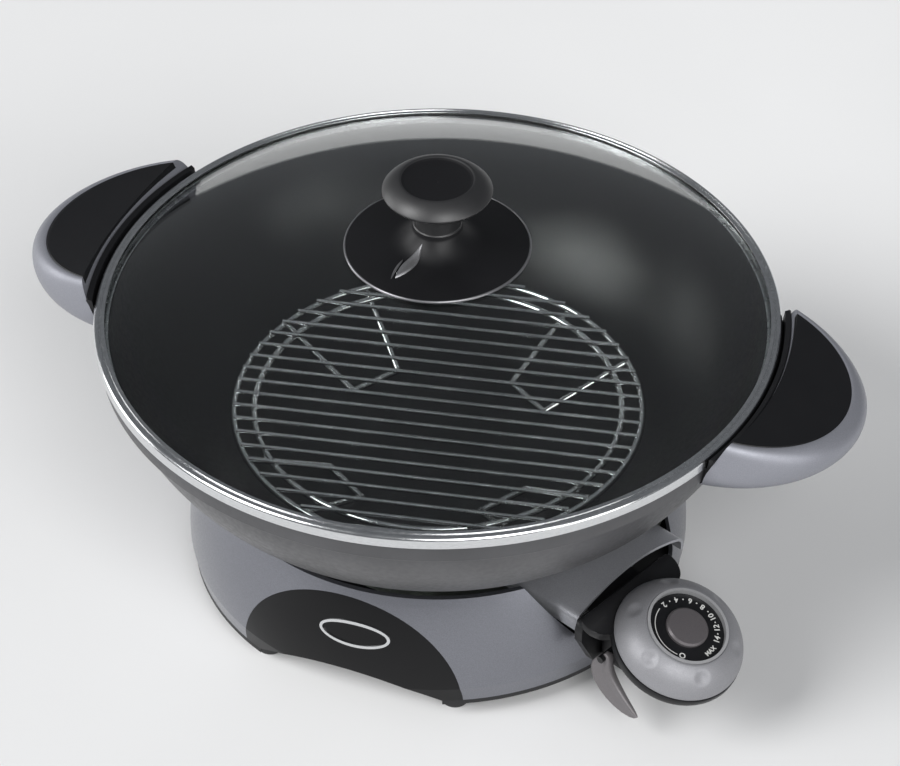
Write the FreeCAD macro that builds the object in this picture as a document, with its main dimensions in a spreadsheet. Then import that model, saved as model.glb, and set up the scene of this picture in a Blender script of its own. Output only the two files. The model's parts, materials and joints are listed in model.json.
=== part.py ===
import FreeCAD, Part
import math
import os

import Sketcher

from FreeCAD import Placement, Rotation, Vector

# Electric wok: a cast pan with a plug-in temperature control, on a domed base, under a glass lid.
# The origin is on the table under the axis of the pan. +X runs through the right handle, -Y is the front.
# Lengths are in millimetres and angles in degrees. Z is measured from the table.

doc = FreeCAD.newDocument("electric_wok")
sheet = doc.addObject("Spreadsheet::Sheet", "Sizes")

SIZES = {
    # cast pan
    "pan_rim_radius": 178,
    "pan_rim_top": 162,
    "pan_rim_height": 10,
    "pan_wall": 4,
    "pan_curve_radius": 106.5,
    "pan_curve_in": 108,
    "pan_bottom": 70,
    "pan_boss_radius": 6,
    "pan_boss_height": 7,
    "bore_floor": 1,
    # glass lid
    "lid_overhang": 2,
    "lid_ring_width": 6,
    "lid_ring_height": 6.6,
    "lid_slope": 0.2,
    "lid_bead": 2.6,
    "lid_sheet": 1,
    "glass_in": 4.8,
    "glass_rise": 45,
    "glass_edge_height": 4.7,
    "glass_wall": 3,
    "lid_disc_radius": 48.6,
    "lid_disc_wall": 1,
    "lid_trim": 3,
    "lid_trim_rise": 0.4,
    "lid_trim_edge": 0.8,
    "lid_bolt_radius": 3,
    "bolt_head_radius": 5.5,
    "bolt_head_height": 3,
    "washer_radius": 9,
    "washer_wall": 1.2,
    "vent_half_length": 15.2,
    "vent_half_width": 4.5,
    "vent_wall": 0.8,
    "vent_slot_half": 11,
    "vent_slot_half_width": 1.6,
    "vent_distance": 30.3,
    "vent_angle": 255.4,
    "vent_turn": 91,
    # lid knob
    "knob_radius": 28,
    "knob_neck_radius": 13,
    "knob_neck_height": 15,
    "knob_flare": 15.5,
    "knob_band": 3,
    "knob_bevel": 7,
    "knob_crown": 5,
    "knob_height": 39,
    "knob_bore_depth": 22,
    "knob_collar": 1.6,
    # steaming rack
    "rack_height": 100,
    "rack_radius": 109.5,
    "rack_ring_step": 11,
    "rack_wire_radius": 1.8,
    "rack_bar_radius": 1.2,
    "rack_bar_pitch": 10.5,
    "rack_angle": 12,
    "rack_leg_radius": 1.8,
    "rack_leg_spread": 14,
    "rack_foot_in": 8,
    # base
    "base_bottom": 12.2,
    "base_wall": 2.5,
    "base_in": 41.4,
    "base_foot_in": 1.8,
    "base_widest": 22,
    "base_rim": 76.5,
    "dome_radius": 140,
    "floor_top": 31.5,
    "floor_wall": 2.5,
    "arch_half_width": 52,
    "arch_top": 28.8,
    "panel_half_width": 62,
    "panel_crown": 66,
    "panel_top": 72.3,
    "panel_gap": 0.15,
    "panel_lap": 4,
    "badge_half_width": 19.4,
    "badge_half_height": 7.4,
    "badge_line": 1.6,
    "badge_rise": 0.8,
    "badge_height": 52.5,
    "badge_shift": 6.6,
    "foot_radius": 7.5,
    "foot_height": 9.5,
    "foot_edge": 1.5,
    "foot_stem": 3,
    "foot_stem_height": 8,
    "foot_in": 15.1,
    "foot_angle": 26,
    "boss_in": 12.6,
    "boss_top": 41,
    "boss_rib_half": 1.5,
    "post_radius": 5,
    "post_out": 5.5,
    "post_depth": 6,
    "shield_bottom": 37,
    "shield_top": 50,
    "shield_wall": 1.5,
    "shield_in": 24.6,
    "shield_rim_in": 10.6,
    "rest_in": 3.5,
    "rest_wall": 2.5,
    "rest_flange": 11,
    "rest_gap": 100,
    # heating element under the pan
    "element_in": 14.5,
    "element_tube_radius": 3.5,
    "element_back": 57,
    "element_plate_in": 9.5,
    "element_plate_wall": 2,
    "plate_slot_share": 520,
    "plate_slot_length": 24,
    "plate_slot_side": 1,
    "tongue_half_width": 9,
    "terminal_radius": 2,
    "terminal_spread": 14,
    "terminal_height": 56,
    "terminal_back": 19,
    "bead_length": 6,
    "socket_radius": 5,
    "socket_bore": 3.5,
    "socket_back": 41,
    "socket_height": 56,
    # guard over the plug-in control, and the notch in the base that it drops into
    "probe_angle": 338.5,
    "probe_shift": -12,
    "guard_half_width": 43,
    "guard_shift": 2,
    "guard_start": 60,
    "guard_gap": 4.5,
    "guard_top": 69.9,
    "guard_corner": 7,
    "guard_crown": 95,
    "guard_bottom": 52,
    "guard_wall": 1.6,
    "notch_start": 90,
    "notch_left": 55,
    "notch_curve": 175,
    "notch_foot": 28,
    "notch_right": 50.5,
    "notch_corner": 10,
    "notch_bottom": 33,
    # plug-in control
    "probe_gap": 4.4,
    "probe_back_wall": 5,
    "probe_half_width": 35,
    "body_in": 10,
    "probe_bottom": 34,
    "probe_wall": 2.5,
    "rear_top": 66,
    "rear_corner": 6,
    "rear_shoulder": 54,
    "housing_drop": 7,
    "flange_wall": 4,
    "housing_post_radius": 3.6,
    "housing_post_height": 6,
    "housing_post_in": 5.5,
    "housing_post_ahead": 11.5,
    "housing_post_side": 15,
    "block_length": 29,
    "block_half_width": 20,
    "block_bottom": 51,
    "block_height": 10,
    "block_bore_depth": 14,
    "clip_radius": 3.2,
    "clip_in": 2,
    "rod_radius": 3.2,
    "rod_end": 62,
    "rod_length_in": 9,
    "thermostat_length": 28,
    "thermostat_width": 20,
    "thermostat_height": 7,
    "thermostat_top": 15,
    "thermostat_front": 8,
    "bush_radius": 5,
    "gland_radius": 6,
    "gland_bore": 3.5,
    "gland_length": 8,
    "gland_place_in": 24,
    "gland_height": 45,
    # temperature dial
    "dial_out": 42.5,
    "dial_height": 60,
    "dial_tilt": 22.5,
    "dial_radius": 35,
    "dial_ring_radius": 22,
    "dial_ring_wall": 1.5,
    "dial_cap_radius": 11.3,
    "dial_cap_rise": 2.5,
    "dial_cap_bevel": 1,
    "dial_rise": 10,
    "skirt_below_ring": 0.6,
    "dial_step": 1,
    "dial_dome": 20,
    "dial_skirt_drop": 6,
    "dial_skirt_edge": 4,
    "dial_wall": 2,
    "dial_face_height": 7,
    "dial_shaft_radius": 3,
    "dial_shaft_end": 14.5,
    "dimple_radius": 7,
    "dimple_distance": 32.2,
    "dimple_height": 10.4,
    "dimple_angle": 31,
    # release lever
    "lever_width": 7.5,
    "lever_pivot_out": 16.5,
    "lever_pivot_height": 48.5,
    "lever_head_radius": 6.5,
    "lever_hollow": 24,
    "lever_tip_out": 38.5,
    "lever_tip_height": 24,
    "lever_tip_radius": 4.5,
    "lever_heel_out": 26,
    "lever_back": 26,
    "lever_pin_radius": 2,
    "lever_pin_root": 6,
    "lever_pin_end": 1,
    # side handles
    "handle_in": 19.5,
    "handle_foot_shift": 4.5,
    "handle_wide_shift": 6,
    "handle_foot_radius": 62,
    "handle_wide_radius": 63.5,
    "handle_top_radius": 60,
    "handle_wall": 3,
    "handle_bottom": 141,
    "handle_widest": 150,
    "handle_top": 171.5,
    "handle_screw_out": 20,
    "handle_screw_half": 14,
    "cover_edge": 58.6,
    "cover_depth": 9,
    "cover_dish": 6,
    "deck_wall": 2.5,
    "collar_width": 4,
    "collar_spread": 24,
    "collar_bottom": 141,
    "bracket_half_width": 20,
    "bracket_root": 1,
    "bracket_reach": 28,
    "bracket_wall": 3,
    # shared fits
    "fit": 0.1,
    "screw_fit": 0.05,
    "clearance": 0.3,
    "screw_short": 1,
    "floor_screw_short": 3,
    "screw_radius": 1.8,
    "screw_head_radius": 3.6,
    "screw_head_height": 2.2,
    # cutting shapes start inside the wall and end outside it
    "reach_start": 60,
    "reach": 120,
}

for row, (alias, number) in enumerate(SIZES.items(), start=1):
    sheet.set(f"A{row}", alias)
    sheet.set(f"B{row}", str(number))
    sheet.setAlias(f"B{row}", alias)

# Sizes that follow from the ones above.
WORKED = {
    "pan_flat_radius": "pan_rim_radius - pan_curve_in",
    "rack_foot_distance": "pan_flat_radius - rack_foot_in",
    "lid_ring_radius": "pan_rim_radius + lid_overhang",
    "glass_radius": "lid_ring_radius - glass_in",
    "base_wide_radius": "pan_rim_radius - base_in",
    "base_foot_radius": "base_wide_radius - base_foot_in",
    "dome_centre": "base_wide_radius - dome_radius",
    "dome_inner": "dome_radius - base_wall",
    "base_rim_radius": "dome_centre + sqrt(dome_radius ^ 2 - (base_rim - base_widest) ^ 2)",
    "base_mouth_radius": "dome_centre + sqrt(dome_inner ^ 2 - (base_rim - base_widest) ^ 2)",
    "lap_start": "floor_top + panel_lap",
    "lap_start_radius": "dome_centre + sqrt(dome_inner ^ 2 - (lap_start - base_widest) ^ 2)",
    "foot_distance": "base_wide_radius - foot_in",
    "boss_distance": "base_wide_radius - boss_in",
    "shield_radius": "base_wide_radius - shield_in",
    "shield_rim": "base_wide_radius - shield_rim_in",
    "rest_radius": "pan_flat_radius - rest_in",
    "element_radius": "rest_radius - element_in",
    "plate_slot_back": "plate_slot_share / element_radius",
    "element_plate_radius": "rest_radius - element_plate_in",
    "post_distance": "rest_radius + post_out",
    "probe_back": "base_wide_radius + probe_gap",
    "element_end": "probe_back - element_back",
    "socket_end": "probe_back - socket_back",
    "guard_end": "probe_back - guard_gap",
    "terminal_end": "probe_back - terminal_back",
    "block_start": "probe_back - block_length",
    "rod_back": "probe_back + rod_length_in",
    "gland_place": "probe_back + gland_place_in",
    "dial_distance": "probe_back + dial_out",
    "lever_pivot": "probe_back + lever_pivot_out",
    "lever_tip": "probe_back + lever_tip_out",
    "lever_heel": "probe_back + lever_heel_out",
    "body_half_width": "probe_half_width - body_in",
    "cavity_half_width": "body_half_width - probe_wall",
    "flange_drop": "housing_drop + flange_wall",
    "pan_curve_centre": "pan_bottom + pan_curve_radius",
    "pan_inner_curve": "pan_curve_radius - pan_wall",
    "pan_skirt": "pan_rim_top - pan_rim_height",
    "pan_neck_radius": "pan_flat_radius + sqrt(pan_curve_radius ^ 2 - (pan_curve_centre - pan_skirt) ^ 2)",
    "pan_mouth_radius": "pan_flat_radius + sqrt(pan_inner_curve ^ 2 - (pan_curve_centre - pan_rim_top) ^ 2)",
    "pan_rim_offset": "pan_flat_radius + sqrt((pan_curve_radius + clearance) ^ 2"
                      " - (pan_curve_centre - base_rim) ^ 2)",
    "lid_bottom": "pan_rim_top + clearance",
    "lid_top": "lid_bottom + lid_ring_height",
    "glass_edge": "lid_bottom + glass_edge_height",
    "glass_curve": "(glass_radius ^ 2 + glass_rise ^ 2) / (2 * glass_rise)",
    "glass_inner_curve": "glass_curve - glass_wall",
    "glass_top": "glass_edge + glass_rise",
    "glass_centre": "glass_top - glass_curve",
    "glass_inner_top": "glass_centre + sqrt(glass_inner_curve ^ 2 - (lid_bolt_radius + fit) ^ 2)",
    "glass_bore_top": "glass_centre + sqrt(glass_curve ^ 2 - (lid_bolt_radius + fit) ^ 2)",
    "glass_inner_edge": "glass_centre + sqrt(glass_inner_curve ^ 2 - glass_radius ^ 2)",
    "disc_edge_inner": "glass_centre + sqrt(glass_curve ^ 2 - (lid_disc_radius - lid_trim) ^ 2)",
    "disc_edge_outer": "glass_centre + sqrt(glass_curve ^ 2 - lid_disc_radius ^ 2)",
    "disc_top": "glass_top + lid_disc_wall",
    "lid_trim_top": "disc_edge_inner + lid_disc_wall + lid_trim_rise",
    "vent_leaf_arc": "(vent_half_length ^ 2 + vent_half_width ^ 2) / (2 * vent_half_width)",
    "vent_slot_arc": "(vent_slot_half ^ 2 + vent_slot_half_width ^ 2) / (2 * vent_slot_half_width)",
    "knob_top": "disc_top + knob_height",
    "knob_edge": "knob_top - knob_crown - knob_band",
    "knob_bore_top": "disc_top + knob_bore_depth",
    "washer_seat": "glass_centre + sqrt(glass_inner_curve ^ 2 - washer_radius ^ 2)",
    "washer_bottom": "washer_seat - washer_wall",
    "arch_radius": "(arch_half_width ^ 2 + (arch_top - base_bottom) ^ 2) / (2 * (arch_top - base_bottom))",
    "panel_flank": "(panel_half_width ^ 2 + (panel_top - panel_crown - base_bottom) ^ 2 - panel_crown ^ 2)"
                  " / (2 * (panel_half_width - panel_crown))",
    "floor_radius": "base_foot_radius - base_wall - fit",
    "rest_foot": "shield_bottom + shield_wall",
    "rest_screw_length": "post_depth + 2 * shield_wall - screw_short",
    "floor_screw_length": "floor_wall + boss_top - floor_top - floor_screw_short",
    "element_centre": "pan_bottom - element_tube_radius",
    "plate_top": "pan_bottom - 2 * element_tube_radius",
    "guard_bend": "guard_top - guard_crown + sqrt((guard_crown - guard_corner) ^ 2"
                    " - (guard_half_width - guard_corner) ^ 2)",
    "housing_back": "probe_back + probe_back_wall",
    "housing_bottom": "probe_bottom + probe_wall",
    "dial_skirt_rise": "dial_rise - skirt_below_ring",
    "collar_inner": "pan_rim_radius + clearance",
    "collar_outer": "collar_inner + collar_width",
    "handle_top_centre": "pan_rim_radius - handle_in",
    "handle_foot_centre": "handle_top_centre + handle_foot_shift",
    "handle_wide_centre": "handle_top_centre + handle_wide_shift",
    "handle_inner": "handle_foot_radius - handle_wall",
    "handle_screw_distance": "pan_rim_radius + handle_screw_out",
    "deck_top": "handle_top - cover_depth",
    "deck_bottom": "deck_top - deck_wall",
    "cover_curve": "(cover_edge ^ 2 + cover_dish ^ 2) / (2 * cover_dish)",
}


def arch_sizes(name, inset, half, side, crown, spring, top):
    """An arch: a crown arc and two side arcs that meet it smoothly, drawn inside by an inset."""
    share = f"{name}_top_arc / ({crown} - {side})"
    return {
        f"{name}_half": f"{half} - {inset}",
        f"{name}_side": f"{side} - {inset}",
        f"{name}_top_arc": f"{crown} - {inset}",
        f"{name}_spring": spring,
        f"{name}_shoulder_half": f"({half} - {side}) * {share}",
        f"{name}_shoulder": f"{top} - {crown} + ({spring} - {top} + {crown}) * {share}",
    }


PANEL_ARCH = ("panel_half_width", "panel_flank", "panel_crown", "base_bottom", "panel_top")
GUARD_ARCH = ("guard_half_width", "guard_corner", "guard_crown", "guard_bend", "guard_top")
WORKED.update(arch_sizes("opening", "0", *PANEL_ARCH))
WORKED.update(arch_sizes("panel", "panel_gap", *PANEL_ARCH))
WORKED.update(arch_sizes("lap", "(0 - panel_lap)", *PANEL_ARCH))
WORKED.update(arch_sizes("guard", "0", *GUARD_ARCH))
WORKED.update(arch_sizes("guard_inner", "guard_wall", *GUARD_ARCH))

first_worked_row = len(SIZES) + 2
for row, (alias, formula) in enumerate(WORKED.items(), start=first_worked_row):
    sheet.set(f"A{row}", alias)
    sheet.set(f"B{row}", "=" + formula)
    sheet.setAlias(f"B{row}", alias)
doc.recompute()


def terms(text):
    """Splits a sum such as 'a + b - 2' into signed words."""
    sign = 1
    for word in str(text).split():
        if word in "+-":
            sign = 1 if word == "+" else -1
        else:
            yield sign, word
            sign = 1


def size(text):
    """The value of a sum of sizes and numbers."""
    total = 0.0
    for sign, word in terms(text):
        if word.startswith("-"):
            sign, word = -sign, word[1:]
        total += sign * float(sheet.get(word) if word in SIZES or word in WORKED else word)
    return total


def bound(text):
    """The same sum as an expression on the sheet."""
    words = []
    for sign, word in terms(text):
        if word.startswith("-"):
            sign, word = -sign, word[1:]
        name = f"Sizes.{word}" if word in SIZES or word in WORKED else word
        words.append(f"{'+' if sign > 0 else '-'} {name}")
    return " ".join(words)


def bind(item, **sums):
    for name, text in sums.items():
        item.setExpression(name, bound(text))


def at(item, x="0", y="0", z="0"):
    """Moves an object to a place given as sums of sizes."""
    for axis, text in zip("xyz", (x, y, z)):
        item.setExpression(f"Placement.Base.{axis}", bound(text))
    return item


parts = []


def keep(item, label):
    """Marks a finished sub-part; its label names its file."""
    item.Label = label
    parts.append(item)
    return item


# Outlines: each vertex is (x, y) or (x, y, radius of the arc to the next vertex), as sums of sizes.
# An arc with "left" turns left on its way to the next vertex, and one with "right" turns right.


def arc_of(start, end, radius, turns_left):
    """The shorter arc from start to end, and whether its own direction runs from start to end."""
    across = end - start
    middle = (start + end) * 0.5
    height = math.sqrt(max(radius * radius - across.Length ** 2 / 4, 0.0))
    side = Vector(-across.y, across.x, 0).normalize() * (height if turns_left else -height)
    centre = middle + side
    angles = [math.atan2(p.y - centre.y, p.x - centre.x) for p in (start, end)]
    if not turns_left:
        angles.reverse()
    circle = Part.Circle(centre, Vector(0, 0, 1), radius)
    return Part.ArcOfCircle(circle, angles[0], angles[1])


def outline(owner, role, name, vertices, height="0"):
    """A closed sketch on one of the body's own origin planes, bound to the sheet."""
    drawn = owner.newObject("Sketcher::SketchObject", name)
    plane = next(p for p in owner.Origin.OriginFeatures if p.Role == role)
    drawn.AttachmentSupport = [(plane, "")]
    drawn.MapMode = "FlatFace"
    drawn.setExpression("AttachmentOffset.Base.z", bound(height))
    corners = [Vector(size(v[0]), size(v[1]), 0) for v in vertices]
    starts = []
    ends = []
    for index, vertex in enumerate(vertices):
        start = corners[index]
        end = corners[(index + 1) % len(corners)]
        if len(vertex) == 2:
            edge = drawn.addGeometry(Part.LineSegment(start, end), False)
            starts.append((edge, 1))
            ends.append((edge, 2))
            continue
        turns_left = vertex[3] == "left"
        edge = drawn.addGeometry(arc_of(start, end, size(vertex[2]), turns_left), False)
        starts.append((edge, 1 if turns_left else 2))
        ends.append((edge, 2 if turns_left else 1))
        row = drawn.addConstraint(Sketcher.Constraint("Radius", edge, size(vertex[2])))
        drawn.setExpression(f"Constraints[{row}]", bound(vertex[2]))
    for index, vertex in enumerate(vertices):
        drawn.addConstraint(Sketcher.Constraint("Coincident", *ends[index - 1], *starts[index]))
        for kind, text, value in (("DistanceX", vertex[0], corners[index].x),
                                  ("DistanceY", vertex[1], corners[index].y)):
            row = drawn.addConstraint(Sketcher.Constraint(kind, -1, 1, *starts[index], value))
            drawn.setExpression(f"Constraints[{row}]", bound(text))
    return drawn


def turned(name, vertices, angle="360"):
    """A body made by turning an outline in the XZ plane about Z."""
    body = doc.addObject("PartDesign::Body", name)
    drawn = outline(body, "XZ_Plane", f"{name}_outline", vertices)
    turn = body.newObject("PartDesign::Revolution", f"{name}_turn")
    turn.Profile = drawn
    turn.ReferenceAxis = (drawn, ["V_Axis"])
    bind(turn, Angle=angle)
    drawn.Visibility = False
    return body


def pushed(name, role, vertices, start, length):
    """A body made by pushing an outline along the normal of one of its origin planes."""
    body = doc.addObject("PartDesign::Body", name)
    drawn = outline(body, role, f"{name}_outline", vertices, start)
    pad = body.newObject("PartDesign::Pad", f"{name}_pad")
    pad.Profile = drawn
    bind(pad, Length=length)
    return body


def cylinder(name, radius, height, x="0", y="0", z="0", direction=None):
    item = doc.addObject("Part::Cylinder", name)
    bind(item, Radius=radius, Height=height)
    if direction:
        item.Placement = Placement(Vector(), Rotation(Vector(0, 0, 1), Vector(*direction)))
    return at(item, x, y, z)


def box(name, x, y, z, length, width, height):
    item = doc.addObject("Part::Box", name)
    bind(item, Length=length, Width=width, Height=height)
    return at(item, x, y, z)


def cut(name, base, *tools):
    for index, tool in enumerate(tools):
        item = doc.addObject("Part::Cut", f"{name}_cut{index}")
        item.Base = base
        item.Tool = tool
        base = item
    return base


def fuse(name, *shapes):
    item = doc.addObject("Part::MultiFuse", name)
    item.Shapes = list(shapes)
    return item


def common(name, *shapes):
    item = doc.addObject("Part::MultiCommon", name)
    item.Shapes = list(shapes)
    return item


def polar(radius, angle, height=0.0):
    """A point at a distance from the Z axis."""
    turn = math.radians(angle)
    return Vector(radius * math.cos(turn), radius * math.sin(turn), height)


def spin(item, angle_name="probe_angle"):
    """Turns an object that was drawn along +X to its true direction about Z."""
    item.Placement = Placement(Vector(), Rotation(Vector(0, 0, 1), size(angle_name)))
    item.setExpression("Placement.Rotation.Angle", bound(angle_name))
    return item


def copies(name, item, angles):
    """Copies of a shape turned about Z by each of the angles, as one object of separate solids."""
    doc.recompute()
    made = []
    for angle in angles:
        turned_copy = item.Shape.copy()
        turned_copy.rotate(Vector(), Vector(0, 0, 1), angle)
        made.append(turned_copy)
    group = doc.addObject("Part::Feature", name)
    group.Shape = Part.makeCompound(made)
    return group


def rod(points, radius):
    """A round bar through the points, with a ball at each bend."""
    pieces = []
    for start, end in zip(points, points[1:]):
        pieces.append(Part.makeCylinder(radius, (end - start).Length, start, end - start))
    for point in points[1:-1]:
        pieces.append(Part.makeSphere(radius, point))
    if len(pieces) == 1:
        return pieces[0]
    return pieces[0].fuse(pieces[1:]).removeSplitter()


def feature(name, shape):
    item = doc.addObject("Part::Feature", name)
    item.Shape = shape
    return item


# ---------------------------------------------------------------- base

BASE_WALL = [
    ("base_foot_radius", "base_bottom"),
    ("base_wide_radius", "base_widest", "dome_radius", "left"),
    ("base_rim_radius", "base_rim"),
    ("base_mouth_radius", "base_rim", "dome_inner", "right"),
    ("base_wide_radius - base_wall", "base_widest"),
    ("base_foot_radius - base_wall", "base_bottom"),
]


def inner_band(name, outer, inner):
    """A band that follows the inside of the wall above the floor, between two distances from the wall."""
    return turned(name, [
        (f"lap_start_radius - {inner}", "lap_start"),
        (f"lap_start_radius - {outer}", "lap_start", "dome_inner", "left"),
        (f"base_mouth_radius - {outer}", "base_rim"),
        (f"base_mouth_radius - {inner}", "base_rim", "dome_inner", "right"),
    ])


def arch(name, bottom, shift="0"):
    """The outline of an arch of three arcs that stands on straight sides."""
    left = [f"{shift} - {name}_{edge}" for edge in ("half", "shoulder_half")]
    right = [f"{shift} + {name}_{edge}" for edge in ("half", "shoulder_half")]
    return [
        (left[0], bottom),
        (left[0], f"{name}_spring", f"{name}_side", "right"),
        (left[1], f"{name}_shoulder", f"{name}_top_arc", "right"),
        (right[1], f"{name}_shoulder", f"{name}_side", "right"),
        (right[0], f"{name}_spring"),
        (right[0], bottom),
    ]


def foot_arch(name, start, length):
    """The low arch at the bottom edge of the base, front or back."""
    points = [
        ("-arch_half_width", "0"),
        ("-arch_half_width", "base_bottom", "arch_radius", "right"),
        ("arch_half_width", "base_bottom"),
        ("arch_half_width", "0"),
    ]
    return pushed(name, "XZ_Plane", points, start, length)


def make_base():
    wall = turned("shell_wall", BASE_WALL)
    opening = pushed("panel_opening", "XZ_Plane", arch("opening", "0"), "reach_start", "reach")
    back_arch = foot_arch("back_arch", "-reach - reach_start", "reach")
    notch = pushed("probe_notch", "YZ_Plane", [
        ("-notch_left", "base_rim", "notch_curve", "left"),
        ("-notch_foot", "notch_bottom"),
        ("notch_right - notch_corner", "notch_bottom", "notch_corner", "left"),
        ("notch_right", "notch_bottom + notch_corner"),
        ("notch_right", "base_rim + base_wall"),
        ("-notch_left", "base_rim + base_wall"),
    ], "notch_start", "reach")
    spin(notch)
    boss = cylinder("shell_boss", "post_radius", "boss_top - floor_top", "boss_distance", "0", "floor_top")
    boss_bore = cylinder("shell_boss_bore", "screw_radius", "boss_top - floor_top", "boss_distance", "0",
                         "floor_top - base_wall")
    rib = box("shell_rib", "boss_distance", "-boss_rib_half", "floor_top", "base_foot_radius - boss_distance",
              "boss_rib_half + boss_rib_half", "boss_top - floor_top")
    bosses = copies("shell_bosses", fuse("shell_boss_and_rib", boss, rib), BOSS_ANGLES)
    bores = copies("shell_boss_bores", boss_bore, BOSS_ANGLES)
    walls = cut("shell_walls", wall, opening, back_arch, notch)
    keep(cut("base_shell", fuse("shell_with_bosses", walls, bosses), bores), "base_shell")

    wall_again = turned("panel_wall", BASE_WALL)
    inner_lap = inner_band("panel_inner_lap", "panel_gap", "base_wall")
    face_prism = pushed("panel_prism", "XZ_Plane", arch("panel", "0"), "reach_start", "reach")
    lap_prism = pushed("panel_lap_prism", "XZ_Plane", arch("lap", "0"), "reach_start", "reach")
    back_skin = inner_band("panel_back_skin", "0", "base_wall")
    face = common("panel_face", fuse("panel_body", wall_again, back_skin), face_prism)
    lap = common("panel_lap_band", inner_lap, lap_prism)
    front_arch = foot_arch("panel_arch", "reach_start", "reach")
    keep(cut("front_panel", fuse("panel_joined", face, lap), front_arch), "front_panel")

    badge_skin = turned("badge_skin", [
        ("base_wide_radius", "base_widest"),
        ("base_wide_radius + badge_rise", "base_widest", "dome_radius", "left"),
        ("base_rim_radius + badge_rise", "base_rim"),
        ("base_rim_radius", "base_rim", "dome_radius", "right"),
    ])
    outer = oval("badge_outer", "badge_half_width", "badge_half_height")
    inner = oval("badge_inner", "badge_half_width - badge_line", "badge_half_height - badge_line")
    keep(common("badge_ring", badge_skin, cut("badge_band", outer, inner)), "badge_ring")

    floor = turned("floor_dish", [
        ("0", "floor_top - floor_wall"),
        ("floor_radius - floor_wall", "floor_top - floor_wall"),
        ("floor_radius - floor_wall", "foot_height"),
        ("base_foot_radius", "foot_height"),
        ("base_foot_radius", "base_bottom"),
        ("floor_radius", "base_bottom"),
        ("floor_radius", "floor_top"),
        ("0", "floor_top"),
    ])
    leg = cylinder("floor_leg", "foot_radius", "floor_top - foot_height", "foot_distance", "0", "foot_height")
    leg_bore = cylinder("floor_leg_bore", "foot_stem + fit", "foot_stem_height + fit", "foot_distance", "0",
                        "foot_height")
    post_height = "shield_bottom - floor_top + floor_wall"
    rest_post = cylinder("floor_post", "post_radius", post_height,
                         "post_distance", "0", "floor_top - floor_wall")
    post_bore = cylinder("floor_post_bore", "screw_radius", "post_depth", "post_distance", "0",
                         "shield_bottom - post_depth")
    boss_hole = cylinder("floor_boss_hole", "screw_radius + fit", "floor_wall", "boss_distance", "0",
                         "floor_top - floor_wall")
    arches = fuse("floor_arches", foot_arch("floor_front_arch", "reach_start", "reach"),
                  foot_arch("floor_back_arch", "-reach - reach_start", "reach"))
    dish = cut("floor_open", floor, arches)
    solid_floor = fuse("floor_joined", dish, copies("floor_legs", leg, FOOT_ANGLES),
                       copies("floor_posts", rest_post, POST_ANGLES))
    keep(cut("base_floor", solid_floor, copies("floor_leg_bores", leg_bore, FOOT_ANGLES),
             copies("floor_post_bores", post_bore, POST_ANGLES),
             copies("floor_boss_holes", boss_hole, BOSS_ANGLES)), "base_floor")

    for name, angle in zip(("right_front", "left_front", "left_back", "right_back"), FOOT_ANGLES):
        pad = turned(f"foot_pad_{name}", [
            ("0", "0"),
            ("foot_radius - foot_edge", "0", "foot_edge", "left"),
            ("foot_radius", "foot_edge"),
            ("foot_radius", "foot_height"),
            ("foot_stem", "foot_height"),
            ("foot_stem", "foot_height + foot_stem_height"),
            ("0", "foot_height + foot_stem_height"),
        ])
        pad.Placement = Placement(polar(size("foot_distance"), angle), Rotation())
        keep(pad, f"foot_{name}")

    shield = turned("shield_dish", [
        ("0", "shield_bottom"),
        ("shield_radius", "shield_bottom"),
        ("shield_rim", "shield_top"),
        ("shield_rim - shield_wall", "shield_top"),
        ("shield_radius - shield_wall", "shield_bottom + shield_wall"),
        ("0", "shield_bottom + shield_wall"),
    ])
    shield_hole = cylinder("shield_hole", "screw_radius + fit", "shield_wall",
                           "post_distance", "0", "shield_bottom")
    keep(cut("heat_shield", shield, copies("shield_holes", shield_hole, POST_ANGLES)), "heat_shield")

    rest = turned("rest_ring", [
        ("rest_radius - rest_wall", "rest_foot"),
        ("rest_radius + rest_flange", "rest_foot"),
        ("rest_radius + rest_flange", "rest_foot + shield_wall"),
        ("rest_radius", "rest_foot + shield_wall"),
        ("rest_radius", "pan_bottom"),
        ("rest_radius - rest_wall", "pan_bottom"),
    ], "360 - rest_gap")
    rest_start = size("probe_angle") + size("rest_gap") / 2
    rest.Placement = Placement(Vector(), Rotation(Vector(0, 0, 1), rest_start))
    rest_hole = cylinder("rest_hole", "screw_radius + fit", "shield_wall", "post_distance", "0", "rest_foot")
    keep(cut("pan_rest", rest, copies("rest_holes", rest_hole, POST_ANGLES)), "pan_rest")

    rest_screw = screw("rest_screw", "post_distance", "rest_foot + shield_wall",
                       "rest_screw_length", down=True)
    keep(copies("rest_screws", rest_screw, POST_ANGLES), "rest_screws")
    floor_screw = screw("floor_screw", "boss_distance", "floor_top - floor_wall",
                        "floor_screw_length", down=False)
    keep(copies("floor_screws", floor_screw, BOSS_ANGLES), "floor_screws")


def oval(name, half_width, half_height):
    """An oval bar that points out of the front at the badge's place."""
    ring = doc.addObject("Part::Ellipse", f"{name}_line")
    bind(ring, MajorRadius=half_width, MinorRadius=half_height)
    ring.Placement = Placement(Vector(), Rotation(Vector(1, 0, 0), 90))
    at(ring, "badge_shift", "-reach_start", "badge_height")
    prism = doc.addObject("Part::Extrusion", name)
    prism.Base = ring
    prism.DirMode = "Custom"
    prism.Dir = Vector(0, -1, 0)
    bind(prism, LengthFwd="reach")
    prism.Solid = True
    return prism


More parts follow.
